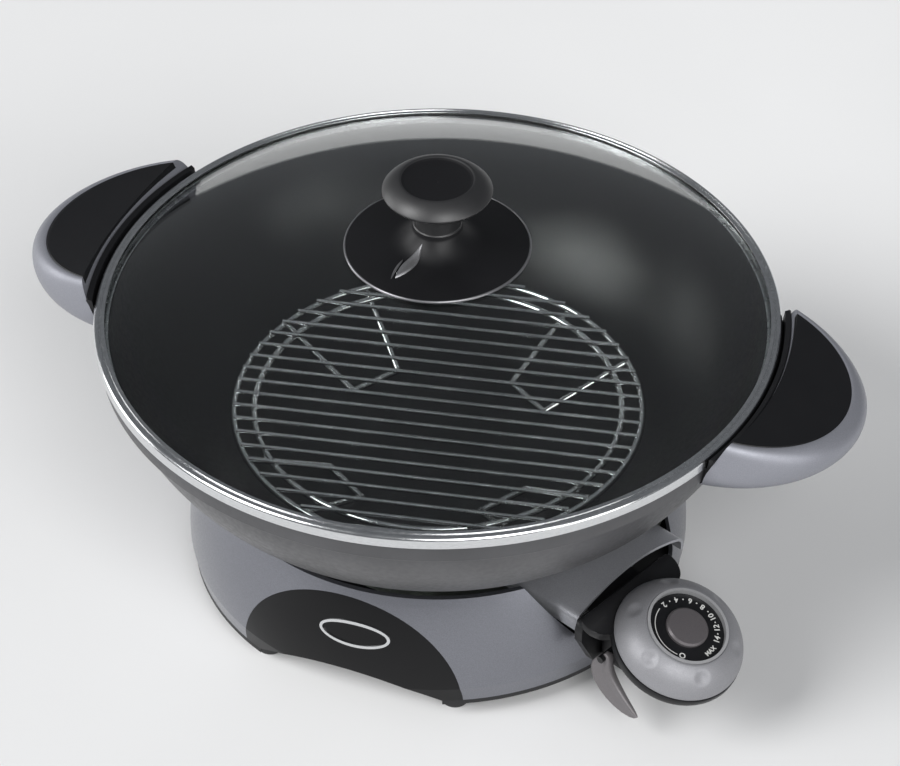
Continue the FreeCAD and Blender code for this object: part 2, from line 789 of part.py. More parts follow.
def screw(name, x, seat, length, down):
    """A pan-head screw with its head on a seat, its shank pointing down or up."""
    if down:
        head = cylinder(f"{name}_head", "screw_head_radius", "screw_head_height", x, "0", seat)
        shank = cylinder(f"{name}_shank", "screw_radius - screw_fit", length, x, "0", f"{seat} - {length}")
    else:
        head = cylinder(f"{name}_head", "screw_head_radius", "screw_head_height", x, "0",
                        f"{seat} - screw_head_height")
        shank = cylinder(f"{name}_shank", "screw_radius - screw_fit", length, x, "0", seat)
    return fuse(name, head, shank)


# ---------------------------------------------------------------- pan


def make_pan():
    bowl = turned("bowl_dish", [
        ("0", "pan_bottom - pan_boss_height"),
        ("pan_boss_radius", "pan_bottom - pan_boss_height"),
        ("pan_boss_radius", "pan_bottom"),
        ("pan_flat_radius", "pan_bottom", "pan_curve_radius", "left"),
        ("pan_neck_radius", "pan_skirt"),
        ("pan_rim_radius", "pan_skirt"),
        ("pan_rim_radius", "pan_rim_top"),
        ("pan_mouth_radius", "pan_rim_top", "pan_inner_curve", "right"),
        ("pan_flat_radius", "pan_bottom + pan_wall"),
        ("0", "pan_bottom + pan_wall"),
    ])
    bore = cylinder("bowl_boss_bore", "screw_radius", "pan_boss_height - bore_floor",
                    z="pan_bottom - pan_boss_height")
    keep(cut("wok_bowl", bowl, bore), "wok_bowl")

    keep(spin(heating_element()), "heating_element")
    sides = ("probe_shift + terminal_spread", "probe_shift - terminal_spread")
    pins = [bar(f"terminal_pin_{i}", "terminal_radius", "terminal_end - element_end", "element_end", side,
                "terminal_height") for i, side in enumerate(sides)]
    keep(spin(group("terminal_pins", pins)), "element_terminals")
    beads = []
    for index, side in enumerate(sides):
        place = ("element_end + fit", side, "terminal_height")
        bead = bar(f"bead_{index}", "element_tube_radius", "bead_length", *place)
        hole = bar(f"bead_hole_{index}", "terminal_radius + screw_fit", "bead_length", *place)
        beads.append(cut(f"bead_ring_{index}", bead, hole))
    keep(spin(group("beads", beads)), "terminal_beads")

    disc = cylinder("plate_disc", "element_plate_radius", "element_plate_wall",
                    z="plate_top - element_plate_wall")
    tongue = box("plate_tongue", "0", "probe_shift - tongue_half_width", "plate_top - element_plate_wall",
                 "socket_end", "tongue_half_width + tongue_half_width", "element_plate_wall")
    slot_width = "element_tube_radius + element_tube_radius + plate_slot_side + plate_slot_side"
    slots = [box(f"plate_slot_{i}", "element_radius - plate_slot_back",
                 f"{side} - element_tube_radius - plate_slot_side", "plate_top - element_plate_wall",
                 "plate_slot_length", slot_width, "element_plate_wall") for i, side in enumerate(sides)]
    stud_hole = cylinder("plate_stud_hole", "screw_radius + fit", "element_plate_wall",
                         z="plate_top - element_plate_wall")
    keep(spin(cut("plate", fuse("plate_joined", disc, tongue), *slots, stud_hole)), "element_plate")
    stud = screw("plate_screw_body", "0", "plate_top - element_plate_wall", "pan_boss_height", down=False)
    keep(stud, "plate_screw")

    place = ("rod_end", "probe_shift", "socket_height")
    sleeve = bar("socket_sleeve", "socket_radius", "socket_end - rod_end", *place)
    sleeve_bore = bar("socket_bore_cut", "socket_bore", "socket_end - rod_end", *place)
    keep(spin(cut("socket", sleeve, sleeve_bore)), "sensor_socket")

    hood = pushed("guard_hood", "YZ_Plane", arch("guard", "guard_bottom", "guard_shift"), "guard_start",
                  "guard_end - guard_start")
    hollow = pushed("guard_hollow", "YZ_Plane", arch("guard_inner", "guard_bottom", "guard_shift"),
                    "guard_start", "guard_end - guard_start")
    tunnel = cut("guard_tunnel", hood, hollow)
    underside = turned("guard_underside", [
        ("0", "pan_bottom - clearance"),
        ("pan_flat_radius", "pan_bottom - clearance", "pan_curve_radius + clearance", "left"),
        ("pan_rim_offset", "base_rim"),
        ("0", "base_rim"),
    ])
    keep(spin(cut("guard", tunnel, underside)), "probe_guard")

    for side, turn in (("right", 0), ("left", 180)):
        make_handle(side, turn)


def bar(name, radius, length, x, y, z):
    """A cylinder that points along +X."""
    return cylinder(name, radius, length, x, y, z, direction=(1, 0, 0))


def group(name, items):
    """Separate solids of one sub-part."""
    item = doc.addObject("Part::Compound", name)
    item.Links = list(items)
    return item


def heating_element():
    """A round tube bent into an open loop, with two legs that drop to the terminals."""
    radius = size("element_radius")
    tube = size("element_tube_radius")
    height = size("element_centre")
    drop = size("terminal_height")
    reach = size("element_end")
    sides = [size("probe_shift") + sign * size("terminal_spread") for sign in (1, -1)]
    start, end = (math.degrees(math.asin(side / radius)) for side in sides)
    loop = Part.makeTorus(radius, tube, Vector(0, 0, height), Vector(0, 0, 1), -180, 180, 360 + end - start)
    loop.rotate(Vector(), Vector(0, 0, 1), start)
    legs = []
    for side in sides:
        near = math.sqrt(radius ** 2 - side ** 2)
        top = Vector(near, side, height)
        low = Vector(near + height - drop, side, drop)
        legs.append(rod([top, low, Vector(reach, side, drop)], tube))
        legs.append(Part.makeSphere(tube, top))
    return feature("element_tube", loop.fuse(legs).removeSplitter())


def make_handle(side, turn):
    """A handle that stands out from the rim: a bracket strip, a silver shell and a black dished cover."""
    def turned_to_side(item):
        item.Placement = Placement(Vector(), Rotation(Vector(0, 0, 1), turn))
        return item

    strip = turned(f"strip_ring_{side}", [
        ("collar_inner", "collar_bottom"),
        ("collar_outer", "collar_bottom"),
        ("collar_outer", "pan_rim_top - clearance"),
        ("collar_inner", "pan_rim_top - clearance"),
    ], "collar_spread + collar_spread")
    strip.Placement = Placement(Vector(), Rotation(Vector(0, 0, 1), -size("collar_spread")))
    tab = box(f"bracket_tab_{side}", "collar_inner + bracket_root", "-bracket_half_width",
              "deck_bottom - bracket_wall", "bracket_reach",
              "bracket_half_width + bracket_half_width", "bracket_wall")
    tab_holes = [cylinder(f"tab_hole_{side}_{i}", "screw_radius + fit", "bracket_wall",
                          "handle_screw_distance", y, "deck_bottom - bracket_wall")
                 for i, y in enumerate(HANDLE_SCREWS)]
    keep(turned_to_side(cut(f"bracket_{side}", fuse(f"bracket_joined_{side}", strip, tab), *tab_holes)),
         f"handle_bracket_{side}")

    levels = (("foot", "handle_bottom"), ("wide", "handle_widest"), ("top", "handle_top"))
    lines = [circle(f"handle_{level}_line_{side}", f"handle_{level}_radius", f"handle_{level}_centre", height)
             for level, height in levels]
    outer = loft(f"handle_outer_{side}", *lines)
    hollow = cylinder(f"handle_hollow_{side}", "handle_inner", "deck_bottom - handle_bottom",
                      "handle_foot_centre", "0", "handle_bottom")
    tray = cylinder(f"handle_tray_{side}", "cover_edge + clearance", "cover_depth", "handle_top_centre", "0",
                    "deck_top")
    cover = turned(f"cover_disc_{side}", [
        ("0", "deck_top"),
        ("cover_edge", "deck_top"),
        ("cover_edge", "handle_top", "cover_curve", "right"),
        ("0", "handle_top - cover_dish"),
    ])
    at(cover, "handle_top_centre")
    inner_cut = cylinder(f"handle_inner_cut_{side}", "collar_outer + clearance", "reach", z="reach_start")
    bores = [cylinder(f"handle_bore_{side}_{i}", "screw_radius", "deck_top - deck_bottom",
                      "handle_screw_distance", y, "deck_bottom") for i, y in enumerate(HANDLE_SCREWS)]
    shell = cut(f"handle_{side}", outer, hollow, tray, inner_cut, *bores)
    keep(turned_to_side(shell), f"handle_shell_{side}")
    keep(turned_to_side(cut(f"cover_{side}", cover, inner_cut)), f"handle_cover_{side}")
    screws = []
    for index, y in enumerate(HANDLE_SCREWS):
        head = cylinder(f"handle_screw_head_{side}_{index}", "screw_head_radius", "screw_head_height",
                        "handle_screw_distance", y, "deck_bottom - bracket_wall - screw_head_height")
        shank = cylinder(f"handle_screw_shank_{side}_{index}", "screw_radius - screw_fit",
                         "bracket_wall + deck_top - deck_bottom", "handle_screw_distance", y,
                         "deck_bottom - bracket_wall")
        screws.append(fuse(f"handle_screw_{side}_{index}", head, shank))
    keep(turned_to_side(group(f"handle_screw_pair_{side}", screws)), f"handle_screws_{side}")


# ---------------------------------------------------------------- lid


def make_lid():
    keep(turned("rim_ring", [
        ("lid_ring_radius - lid_ring_width", "lid_bottom"),
        ("lid_ring_radius", "lid_bottom"),
        ("lid_ring_radius", "lid_top - lid_bead", "lid_bead", "left"),
        ("lid_ring_radius - lid_bead", "lid_top"),
        ("lid_ring_radius - lid_ring_width", "lid_top + lid_slope"),
        ("lid_ring_radius - lid_ring_width", "lid_top + lid_slope - lid_sheet"),
        ("lid_ring_radius - lid_bead", "lid_top - lid_sheet"),
        ("lid_ring_radius - lid_sheet", "lid_top - lid_bead"),
        ("lid_ring_radius - lid_sheet", "lid_bottom + lid_sheet"),
        ("lid_ring_radius - lid_ring_width", "lid_bottom + lid_sheet"),
    ]), "lid_rim")
    keep(turned("gasket_ring", [
        ("glass_radius + fit", "lid_bottom + lid_sheet"),
        ("lid_ring_radius - lid_sheet", "lid_bottom + lid_sheet"),
        ("lid_ring_radius - lid_sheet", "lid_top - lid_bead"),
        ("lid_ring_radius - lid_bead", "lid_top - lid_sheet"),
        ("glass_radius + fit", "lid_top - lid_sheet"),
    ]), "lid_gasket")
    glass = turned("glass_dome", [
        ("lid_bolt_radius + fit", "glass_bore_top", "glass_curve", "right"),
        ("glass_radius", "glass_edge"),
        ("glass_radius", "glass_inner_edge", "glass_inner_curve", "left"),
        ("lid_bolt_radius + fit", "glass_inner_top"),
    ])
    keep(cut("glass", glass, vent_slot("glass_vent")), "lid_glass")
    disc = turned("lid_disc", [
        ("lid_bolt_radius + fit", "glass_bore_top", "glass_curve", "right"),
        ("lid_disc_radius - lid_trim", "disc_edge_inner"),
        ("lid_disc_radius - lid_trim", "disc_edge_inner + lid_disc_wall", "glass_curve", "left"),
        ("lid_bolt_radius + fit", "glass_bore_top + lid_disc_wall"),
    ])
    keep(cut("lid_plate_cut", disc, vent_slot("plate_vent")), "lid_plate")
    keep(turned("trim_ring", [
        ("lid_disc_radius - lid_trim + fit", "disc_edge_inner"),
        ("lid_disc_radius", "disc_edge_outer"),
        ("lid_disc_radius", "lid_trim_top - lid_trim_edge", "lid_trim_edge", "left"),
        ("lid_disc_radius - lid_trim_edge", "lid_trim_top"),
        ("lid_disc_radius - lid_trim + fit", "lid_trim_top"),
    ]), "lid_trim")
    leaf_band = turned("vent_band", [
        ("lid_bolt_radius + fit", "glass_bore_top + lid_disc_wall", "glass_curve", "right"),
        ("lid_disc_radius - lid_trim", "disc_edge_inner + lid_disc_wall"),
        ("lid_disc_radius - lid_trim", "disc_edge_inner + lid_disc_wall + vent_wall", "glass_curve", "left"),
        ("lid_bolt_radius + fit", "glass_bore_top + lid_disc_wall + vent_wall"),
    ])
    leaf_prism = leaf_body("vent_leaf", "vent_half_length", "vent_leaf_arc",
                           "glass_edge", "glass_rise + knob_height")
    leaf = common("vent_frame", leaf_band, leaf_prism)
    slot = vent_slot("leaf_vent")
    keep(cut("steam_vent_body", leaf, slot), "steam_vent")

    knob = turned("knob_body", [
        ("lid_bolt_radius", "disc_top"),
        ("knob_neck_radius", "disc_top"),
        ("knob_neck_radius", "disc_top + knob_neck_height", "knob_flare", "right"),
        ("knob_radius", "knob_edge"),
        ("knob_radius", "knob_edge + knob_band"),
        ("knob_radius - knob_bevel", "knob_top"),
        ("0", "knob_top"),
        ("0", "knob_bore_top"),
        ("lid_bolt_radius", "knob_bore_top"),
    ])
    keep(knob, "knob")
    keep(turned("collar_ring", [
        ("knob_neck_radius + screw_fit", "disc_top"),
        ("knob_neck_radius + knob_collar", "disc_top"),
        ("knob_neck_radius + knob_collar", "disc_top + knob_collar"),
        ("knob_neck_radius + screw_fit", "disc_top + knob_collar + knob_collar"),
    ]), "knob_collar")
    keep(turned("washer_ring", [
        ("lid_bolt_radius + fit", "washer_bottom"),
        ("washer_radius", "washer_bottom"),
        ("washer_radius", "washer_bottom + washer_wall"),
        ("lid_bolt_radius + fit", "washer_bottom + washer_wall"),
    ]), "knob_washer")
    keep(turned("bolt_body", [
        ("0", "washer_bottom - bolt_head_height"),
        ("bolt_head_radius", "washer_bottom - bolt_head_height"),
        ("bolt_head_radius", "washer_bottom"),
        ("lid_bolt_radius - screw_fit", "washer_bottom"),
        ("lid_bolt_radius - screw_fit", "knob_bore_top - clearance"),
        ("0", "knob_bore_top - clearance"),
    ]), "knob_screw")


def leaf_body(name, half_length, curve, start, height):
    """A plate with two pointed ends and curved sides, turned to the vent's place on the lid."""
    body = pushed(name, "XY_Plane", [
        (f"-{half_length}", "0", curve, "left"),
        (half_length, "0", curve, "left"),
    ], start, height)
    centre = polar(size("vent_distance"), size("vent_angle"))
    body.Placement = Placement(centre, Rotation(Vector(0, 0, 1), size("vent_turn")))
    return body


def vent_slot(name):
    return leaf_body(name, "vent_slot_half", "vent_slot_arc", "glass_edge", "glass_rise + knob_height")


# ---------------------------------------------------------------- steaming rack


def circle(name, radius, x, z):
    item = doc.addObject("Part::Circle", name)
    bind(item, Radius=radius)
    return at(item, x, "0", z)


def loft(name, *sections):
    """A solid through level circles."""
    item = doc.addObject("Part::Loft", name)
    item.Sections = list(sections)
    item.Solid = True
    return item


def ring(name, radius, wire, height):
    item = doc.addObject("Part::Torus", name)
    bind(item, Radius1=radius, Radius2=wire)
    return at(item, z=height)


def make_rack():
    keep(ring("rack_outer_wire", "rack_radius", "rack_wire_radius", "rack_height"), "rack_ring")
    inner = ring("rack_inner_wire", "rack_radius - rack_ring_step", "rack_wire_radius", "rack_height")
    keep(inner, "rack_inner_ring")
    radius = size("rack_radius")
    thin = size("rack_bar_radius")
    height = size("rack_height") + size("rack_wire_radius") + thin
    pitch = size("rack_bar_pitch")
    bars = []
    reach = int((radius - thin) // pitch)
    for step in range(-reach, reach + 1):
        across = step * pitch
        half = math.sqrt(radius ** 2 - across ** 2)
        bars.append(Part.makeCylinder(thin, 2 * half, Vector(-half, across, height), Vector(1, 0, 0)))
    wires = feature("rack_wires", Part.makeCompound(bars))
    wires.Placement = Placement(Vector(), Rotation(Vector(0, 0, 1), size("rack_angle")))
    keep(wires, "rack_bars")

    wire = size("rack_leg_radius")
    top = size("rack_height") - size("rack_wire_radius") - wire
    low = size("pan_bottom") + size("pan_wall") + wire + size("clearance")
    foot = size("rack_foot_distance")
    legs = []
    for turn in RACK_LEG_ANGLES:
        spread = size("rack_leg_spread")
        points = [polar(radius, turn - spread, top), polar(foot, turn - spread, low),
                  polar(foot, turn + spread, low), polar(radius, turn + spread, top)]
        legs.append(rod(points, wire))
    keep(feature("rack_leg_wires", Part.makeCompound(legs)), "rack_legs")


# ---------------------------------------------------------------- plug-in temperature control


def dial_place():
    """From the dial's own frame, with +Z along its shaft, to the part's frame."""
    centre = Vector(size("dial_distance"), size("probe_shift"), size("dial_height"))
    return probe_frame() * Placement(centre, Rotation(Vector(0, 1, 0), size("dial_tilt")))


def probe_frame():
    return Placement(Vector(), Rotation(Vector(0, 0, 1), size("probe_angle")))


def housing_plan(half_width, back):
    """The control seen from above: straight sides and a round nose under the dial."""
    return [
        (back, f"probe_shift - {half_width}"),
        ("dial_distance", f"probe_shift - {half_width}", half_width, "left"),
        (f"dial_distance + {half_width}", "probe_shift", half_width, "left"),
        ("dial_distance", f"probe_shift + {half_width}"),
        (back, f"probe_shift + {half_width}"),
    ]


def above_dial_plane(name, drop):
    """Everything above a plane square to the dial's shaft, in the control's own frame."""
    block = doc.addObject("Part::Box", name)
    bind(block, Length="dial_radius + dial_radius + dial_radius + dial_radius",
         Width="dial_radius + dial_radius + dial_radius + dial_radius", Height="dial_distance")
    centre = Vector(size("dial_distance"), size("probe_shift"), size("dial_height"))
    tilt = Rotation(Vector(0, 1, 0), size("dial_tilt"))
    corner = Vector(-2 * size("dial_radius"), -2 * size("dial_radius"), -size(drop))
    block.Placement = Placement(centre + tilt.multVec(corner), tilt)
    return block


def tilted_bar(name, radius, start, length):
    """A cylinder along the dial's shaft, in the control's own frame."""
    item = doc.addObject("Part::Cylinder", name)
    bind(item, Radius=radius, Height=length)
    centre = Vector(size("dial_distance"), size("probe_shift"), size("dial_height"))
    tilt = Rotation(Vector(0, 1, 0), size("dial_tilt"))
    item.Placement = Placement(centre + tilt.multVec(Vector(0, 0, size(start))), tilt)
    return item


def make_probe():
    plate = pushed("flange_block", "XY_Plane", housing_plan("probe_half_width", "housing_back"),
                   "housing_bottom", "dial_height")
    block = pushed("housing_block", "XY_Plane", housing_plan("body_half_width", "housing_back"),
                   "housing_bottom", "dial_height")
    cavity_plan = housing_plan("cavity_half_width", "housing_back + probe_wall")
    cavity = pushed("housing_cavity", "XY_Plane", cavity_plan, "housing_bottom", "dial_height")
    flange = common("housing_flange", plate, above_dial_plane("flange_cut", "flange_drop"))
    outer = cut("housing_outer", fuse("housing_solid", block, flange),
                above_dial_plane("housing_top_cut", "housing_drop"))
    inner = cut("housing_inner", cavity, above_dial_plane("cavity_top_cut", "housing_drop + probe_wall"))
    posts = [cylinder(f"housing_post_{i}", "housing_post_radius", "housing_post_height",
                      x, y, "housing_bottom") for i, (x, y) in enumerate(HOUSING_POSTS)]
    bores = [cylinder(f"housing_post_bore_{i}", "screw_radius", "housing_post_height", x, y, "housing_bottom")
             for i, (x, y) in enumerate(HOUSING_POSTS)]
    shaft_hole = tilted_bar("housing_shaft_hole", "dial_shaft_radius + screw_fit", "-dial_radius",
                            "dial_radius + dial_radius")
    gland_hole = doc.addObject("Part::Cylinder", "housing_gland_hole")
    bind(gland_hole, Radius="gland_radius + fit", Height="gland_length + gland_length")
    gland_hole.Placement = Placement(Vector(), Rotation(Vector(1, 0, 0), -90))
    at(gland_hole, "gland_place", "probe_shift + body_half_width - gland_length", "gland_height")
    pin_hole = side_bar("housing_pin_hole", "lever_pin_radius", "lever_pin_root + lever_pin_root",
                        "probe_shift - body_half_width + lever_pin_root")
    pin_boss = side_bar("housing_pin_boss", "housing_post_radius", "lever_pin_root + lever_pin_end",
                        "probe_shift - body_half_width + lever_pin_root + lever_pin_end")
    shell = cut("housing_shell", outer, inner)
    joined = fuse("housing_joined", shell, common("housing_posts", fuse("housing_post_bars", *posts), outer),
                  pin_boss)
    rod_gate = bar("housing_rod_hole", "rod_radius + fit", "probe_wall + probe_wall", "housing_back - fit",
                   "probe_shift", "socket_height")
    keep(spin(cut("housing", joined, *bores, shaft_hole, gland_hole, pin_hole, rod_gate)), "probe_housing")

    rear = pushed("rear_plate", "YZ_Plane", [
        ("probe_shift - body_half_width", "probe_bottom"),
        ("probe_shift + body_half_width", "probe_bottom"),
        ("probe_shift + probe_half_width", "rear_shoulder"),
        ("probe_shift + probe_half_width", "rear_top - rear_corner", "rear_corner", "left"),
        ("probe_shift + probe_half_width - rear_corner", "rear_top"),
        ("probe_shift - probe_half_width + rear_corner", "rear_top", "rear_corner", "left"),
        ("probe_shift - probe_half_width", "rear_top - rear_corner"),
        ("probe_shift - probe_half_width", "rear_shoulder"),
    ], "probe_back", "probe_back_wall - fit")
    rod_hole = bar("rear_rod_hole", "rod_radius + screw_fit", "probe_back_wall", "probe_back", "probe_shift",
                   "socket_height")
    keep(spin(cut("rear", rear, rod_hole)), "probe_rear")

    base_plate = pushed("bottom_plate", "XY_Plane", housing_plan("body_half_width", "housing_back"),
                        "probe_bottom", "probe_wall")
    base_holes = [cylinder(f"bottom_hole_{i}", "screw_radius + fit", "probe_wall", x, y, "probe_bottom")
                  for i, (x, y) in enumerate(HOUSING_POSTS)]
    keep(spin(cut("bottom", base_plate, *base_holes)), "probe_bottom_cover")
    screws = []
    for index, (x, y) in enumerate(HOUSING_POSTS):
        head = cylinder(f"housing_screw_head_{index}", "screw_head_radius", "screw_head_height", x, y,
                        "probe_bottom - screw_head_height")
        shank = cylinder(f"housing_screw_shank_{index}", "screw_radius - screw_fit", "housing_post_height",
                         x, y, "probe_bottom")
        screws.append(fuse(f"housing_screw_{index}", head, shank))
    keep(spin(group("housing_screw_set", screws)), "housing_screws")

    sides = ("probe_shift + terminal_spread", "probe_shift - terminal_spread")
    core = box("block_core", "block_start", "probe_shift - block_half_width", "block_bottom",
               "probe_back - block_start", "block_half_width + block_half_width", "block_height")
    bores = [bar(f"block_bore_{i}", "clip_radius", "block_bore_depth", "block_start", side, "terminal_height")
             for i, side in enumerate(sides)]
    rod_way = bar("block_rod_way", "rod_radius + screw_fit", "probe_back - block_start",
                  "block_start", "probe_shift", "socket_height")
    keep(spin(cut("block", core, *bores, rod_way)), "contact_block")
    clips = []
    for index, side in enumerate(sides):
        sleeve = bar(f"clip_sleeve_{index}", "clip_radius - screw_fit", "block_bore_depth - clip_in",
                     "block_start + clip_in", side, "terminal_height")
        way = bar(f"clip_way_{index}", "terminal_radius + screw_fit", "block_bore_depth", "block_start", side,
                  "terminal_height")
        clips.append(cut(f"clip_{index}", sleeve, way))
    keep(spin(group("clips", clips)), "contact_clips")
    sensor = bar("rod_bar", "rod_radius", "rod_back - rod_end", "rod_end", "probe_shift", "socket_height")
    keep(spin(group("rod_group", [sensor])), "sensor_rod")

    body = doc.addObject("Part::Box", "thermostat_box")
    bind(body, Length="thermostat_length", Width="thermostat_width", Height="thermostat_height")
    centre = Vector(size("dial_distance"), size("probe_shift"), size("dial_height"))
    tilt = Rotation(Vector(0, 1, 0), size("dial_tilt"))
    corner = Vector(size("thermostat_front") - size("thermostat_length"), -size("thermostat_width") / 2,
                    -size("thermostat_top") - size("thermostat_height"))
    body.Placement = Placement(centre + tilt.multVec(corner), tilt)
    bush = tilted_bar("thermostat_bush", "bush_radius", "-thermostat_top",
                      "thermostat_top - housing_drop - probe_wall")
    bush_bore = tilted_bar("thermostat_bore", "dial_shaft_radius + screw_fit", "-thermostat_top",
                           "thermostat_top - housing_drop")
    keep(spin(cut("thermostat_body", fuse("thermostat_joined", body, bush), bush_bore)), "thermostat")

    stub = doc.addObject("Part::Cylinder", "gland_stub")
    bind(stub, Radius="gland_radius", Height="gland_length + probe_wall")
    stub.Placement = Placement(Vector(), Rotation(Vector(1, 0, 0), -90))
    at(stub, "gland_place", "probe_shift + body_half_width - probe_wall", "gland_height")
    way = doc.addObject("Part::Cylinder", "gland_way")
    bind(way, Radius="gland_bore", Height="gland_length + probe_wall")
    way.Placement = Placement(Vector(), Rotation(Vector(1, 0, 0), -90))
    at(way, "gland_place", "probe_shift + body_half_width - probe_wall", "gland_height")
    keep(spin(cut("gland", stub, way)), "cord_gland")

    pin_length = "lever_pin_root + lever_width + clearance + lever_pin_end"
    pin = side_bar("lever_pin_bar", "lever_pin_radius", pin_length,
                   "probe_shift - body_half_width + lever_pin_root")
    keep(spin(group("lever_pin_group", [pin])), "lever_pin")
    make_dial()
    make_lever()


def side_bar(name, radius, length, start):
    """A cylinder along -Y at the lever's pivot."""
    item = doc.addObject("Part::Cylinder", name)
    bind(item, Radius=radius, Height=length)
    item.Placement = Placement(Vector(), Rotation(Vector(1, 0, 0), 90))
    return at(item, "lever_pivot", start, "lever_pivot_height")


def make_dial():
    skirt = turned("skirt_dome", [
        ("dial_radius - dial_wall", "-dial_skirt_drop"),
        ("dial_radius", "-dial_skirt_drop"),
        ("dial_radius", "-dial_skirt_edge", "dial_dome", "left"),
        ("dial_ring_radius + dial_step", "dial_skirt_rise"),
        ("dial_ring_radius + fit", "dial_skirt_rise"),
        ("dial_ring_radius + fit", "dial_face_height - dial_wall"),
        ("dial_shaft_radius + screw_fit", "dial_face_height - dial_wall"),
        ("dial_shaft_radius + screw_fit", "dial_face_height - dial_wall - dial_wall"),
        ("dial_ring_radius - dial_step", "dial_face_height - dial_wall - dial_wall", "dial_dome", "right"),
    ])
    dimples = []
    for index in range(DIMPLES):
        ball = doc.addObject("Part::Sphere", f"dimple_{index}")
        bind(ball, Radius="dimple_radius")
        angle = size("dimple_angle") + 360 / DIMPLES * index
        ball.Placement = Placement(polar(size("dimple_distance"), angle, size("dimple_height")), Rotation())
        dimples.append(ball)
    dial = cut("dial_body", skirt, fuse("dimples", *dimples))
    dial.Placement = dial_place()
    keep(dial, "dial_skirt")

    pieces = (
        ("dial_face", [
            ("dial_shaft_radius + screw_fit", "dial_face_height - dial_wall"),
            ("dial_ring_radius - dial_ring_wall - fit", "dial_face_height - dial_wall"),
            ("dial_ring_radius - dial_ring_wall - fit", "dial_face_height"),
            ("dial_shaft_radius + screw_fit", "dial_face_height"),
        ]),
        ("dial_ring", [
            ("dial_ring_radius - dial_ring_wall", "dial_face_height - dial_wall"),
            ("dial_ring_radius", "dial_face_height - dial_wall"),
            ("dial_ring_radius", "dial_rise"),
            ("dial_ring_radius - dial_ring_wall", "dial_rise"),
        ]),
        ("dial_cap", [
            ("0", "dial_face_height"),
            ("dial_cap_radius", "dial_face_height"),
            ("dial_cap_radius", "dial_face_height + dial_cap_rise - dial_cap_bevel"),
            ("dial_cap_radius - dial_cap_bevel", "dial_face_height + dial_cap_rise"),
            ("0", "dial_face_height + dial_cap_rise"),
        ]),
        ("dial_shaft", [
            ("0", "-dial_shaft_end"),
            ("dial_shaft_radius", "-dial_shaft_end"),
            ("dial_shaft_radius", "dial_face_height - screw_fit"),
            ("0", "dial_face_height - screw_fit"),
        ]),
    )
    for name, points in pieces:
        piece = turned(f"{name}_body", points)
        piece.Placement = dial_place()
        keep(piece, name)


def make_lever():
    plate = pushed("lever_plate", "XZ_Plane", [
        ("lever_pivot - lever_head_radius", "lever_pivot_height", "lever_head_radius", "right"),
        ("lever_pivot", "lever_pivot_height + lever_head_radius", "lever_head_radius", "right"),
        ("lever_pivot + lever_head_radius", "lever_pivot_height", "lever_hollow", "left"),
        ("lever_tip", "lever_tip_height + lever_tip_radius", "lever_tip_radius", "right"),
        ("lever_tip + lever_tip_radius", "lever_tip_height", "lever_tip_radius", "right"),
        ("lever_tip", "lever_tip_height - lever_tip_radius"),
        ("lever_heel", "lever_tip_height - lever_tip_radius", "lever_back", "right"),
        ("lever_pivot - lever_head_radius", "lever_pivot_height - lever_head_radius - lever_head_radius"),
    ], "body_half_width - probe_shift + clearance", "lever_width")
    pivot_hole = side_bar("lever_pivot_hole", "lever_pin_radius + screw_fit", "lever_width + lever_width",
                          "probe_shift - body_half_width")
    keep(spin(cut("lever_body", plate, pivot_hole)), "release_lever")


BOSS_ANGLES = (50, 130, 230, 310)
FOOT_ANGLES = [side + turn * size("foot_angle") for side, turn in ((-90, 1), (-90, -1), (90, 1), (90, -1))]
POST_ANGLES = [size("probe_angle") + turn for turn in (70, 180, 290)]
RACK_LEG_ANGLES = (57, 147, 237, 327)
HANDLE_SCREWS = ("-handle_screw_half", "handle_screw_half")
HOUSING_POSTS = (
    ("housing_back + housing_post_in", "probe_shift - body_half_width + housing_post_in"),
    ("housing_back + housing_post_in", "probe_shift + body_half_width - housing_post_in"),
    ("dial_distance + housing_post_ahead", "probe_shift - housing_post_side"),
    ("dial_distance + housing_post_ahead", "probe_shift + housing_post_side"),
)
DIMPLES = 6

make_base()
make_pan()
make_lid()
make_rack()
make_probe()

doc.recompute()
for item in doc.Objects:
    if "Invalid" in item.State or "Error" in item.State:
        raise RuntimeError(f"{item.Name} did not recompute: {item.State}")
os.makedirs("parts", exist_ok=True)
for item in parts:
    if item.Shape.isNull() or not item.Shape.isValid() or item.Shape.Volume <= 0:
        raise RuntimeError(f"{item.Label} has no valid shape")
    item.Shape.exportStep(f"parts/{item.Label}.step")
    print(f"{item.Label:24} {len(item.Shape.Solids):3} solids {item.Shape.Volume / 1000:10.2f} cm3")
print(len(parts), "sub-parts")
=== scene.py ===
import json
import math

import bmesh
import bpy
from mathutils import Matrix, Vector


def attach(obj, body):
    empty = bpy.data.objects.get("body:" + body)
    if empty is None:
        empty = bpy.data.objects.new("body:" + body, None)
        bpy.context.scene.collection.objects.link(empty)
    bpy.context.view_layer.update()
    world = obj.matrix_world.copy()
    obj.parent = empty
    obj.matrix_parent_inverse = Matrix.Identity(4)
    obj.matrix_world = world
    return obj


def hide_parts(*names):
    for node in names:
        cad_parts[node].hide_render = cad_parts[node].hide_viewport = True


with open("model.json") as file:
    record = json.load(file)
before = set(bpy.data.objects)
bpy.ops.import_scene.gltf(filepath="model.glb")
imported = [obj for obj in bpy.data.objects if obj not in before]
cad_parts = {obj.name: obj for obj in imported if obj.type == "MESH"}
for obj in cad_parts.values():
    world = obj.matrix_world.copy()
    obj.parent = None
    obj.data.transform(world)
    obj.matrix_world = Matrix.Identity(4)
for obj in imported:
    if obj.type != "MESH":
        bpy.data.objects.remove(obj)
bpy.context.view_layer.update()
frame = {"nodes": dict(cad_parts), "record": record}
MM = 0.001


# ---------------------------------------------------------------- camera, floor and light

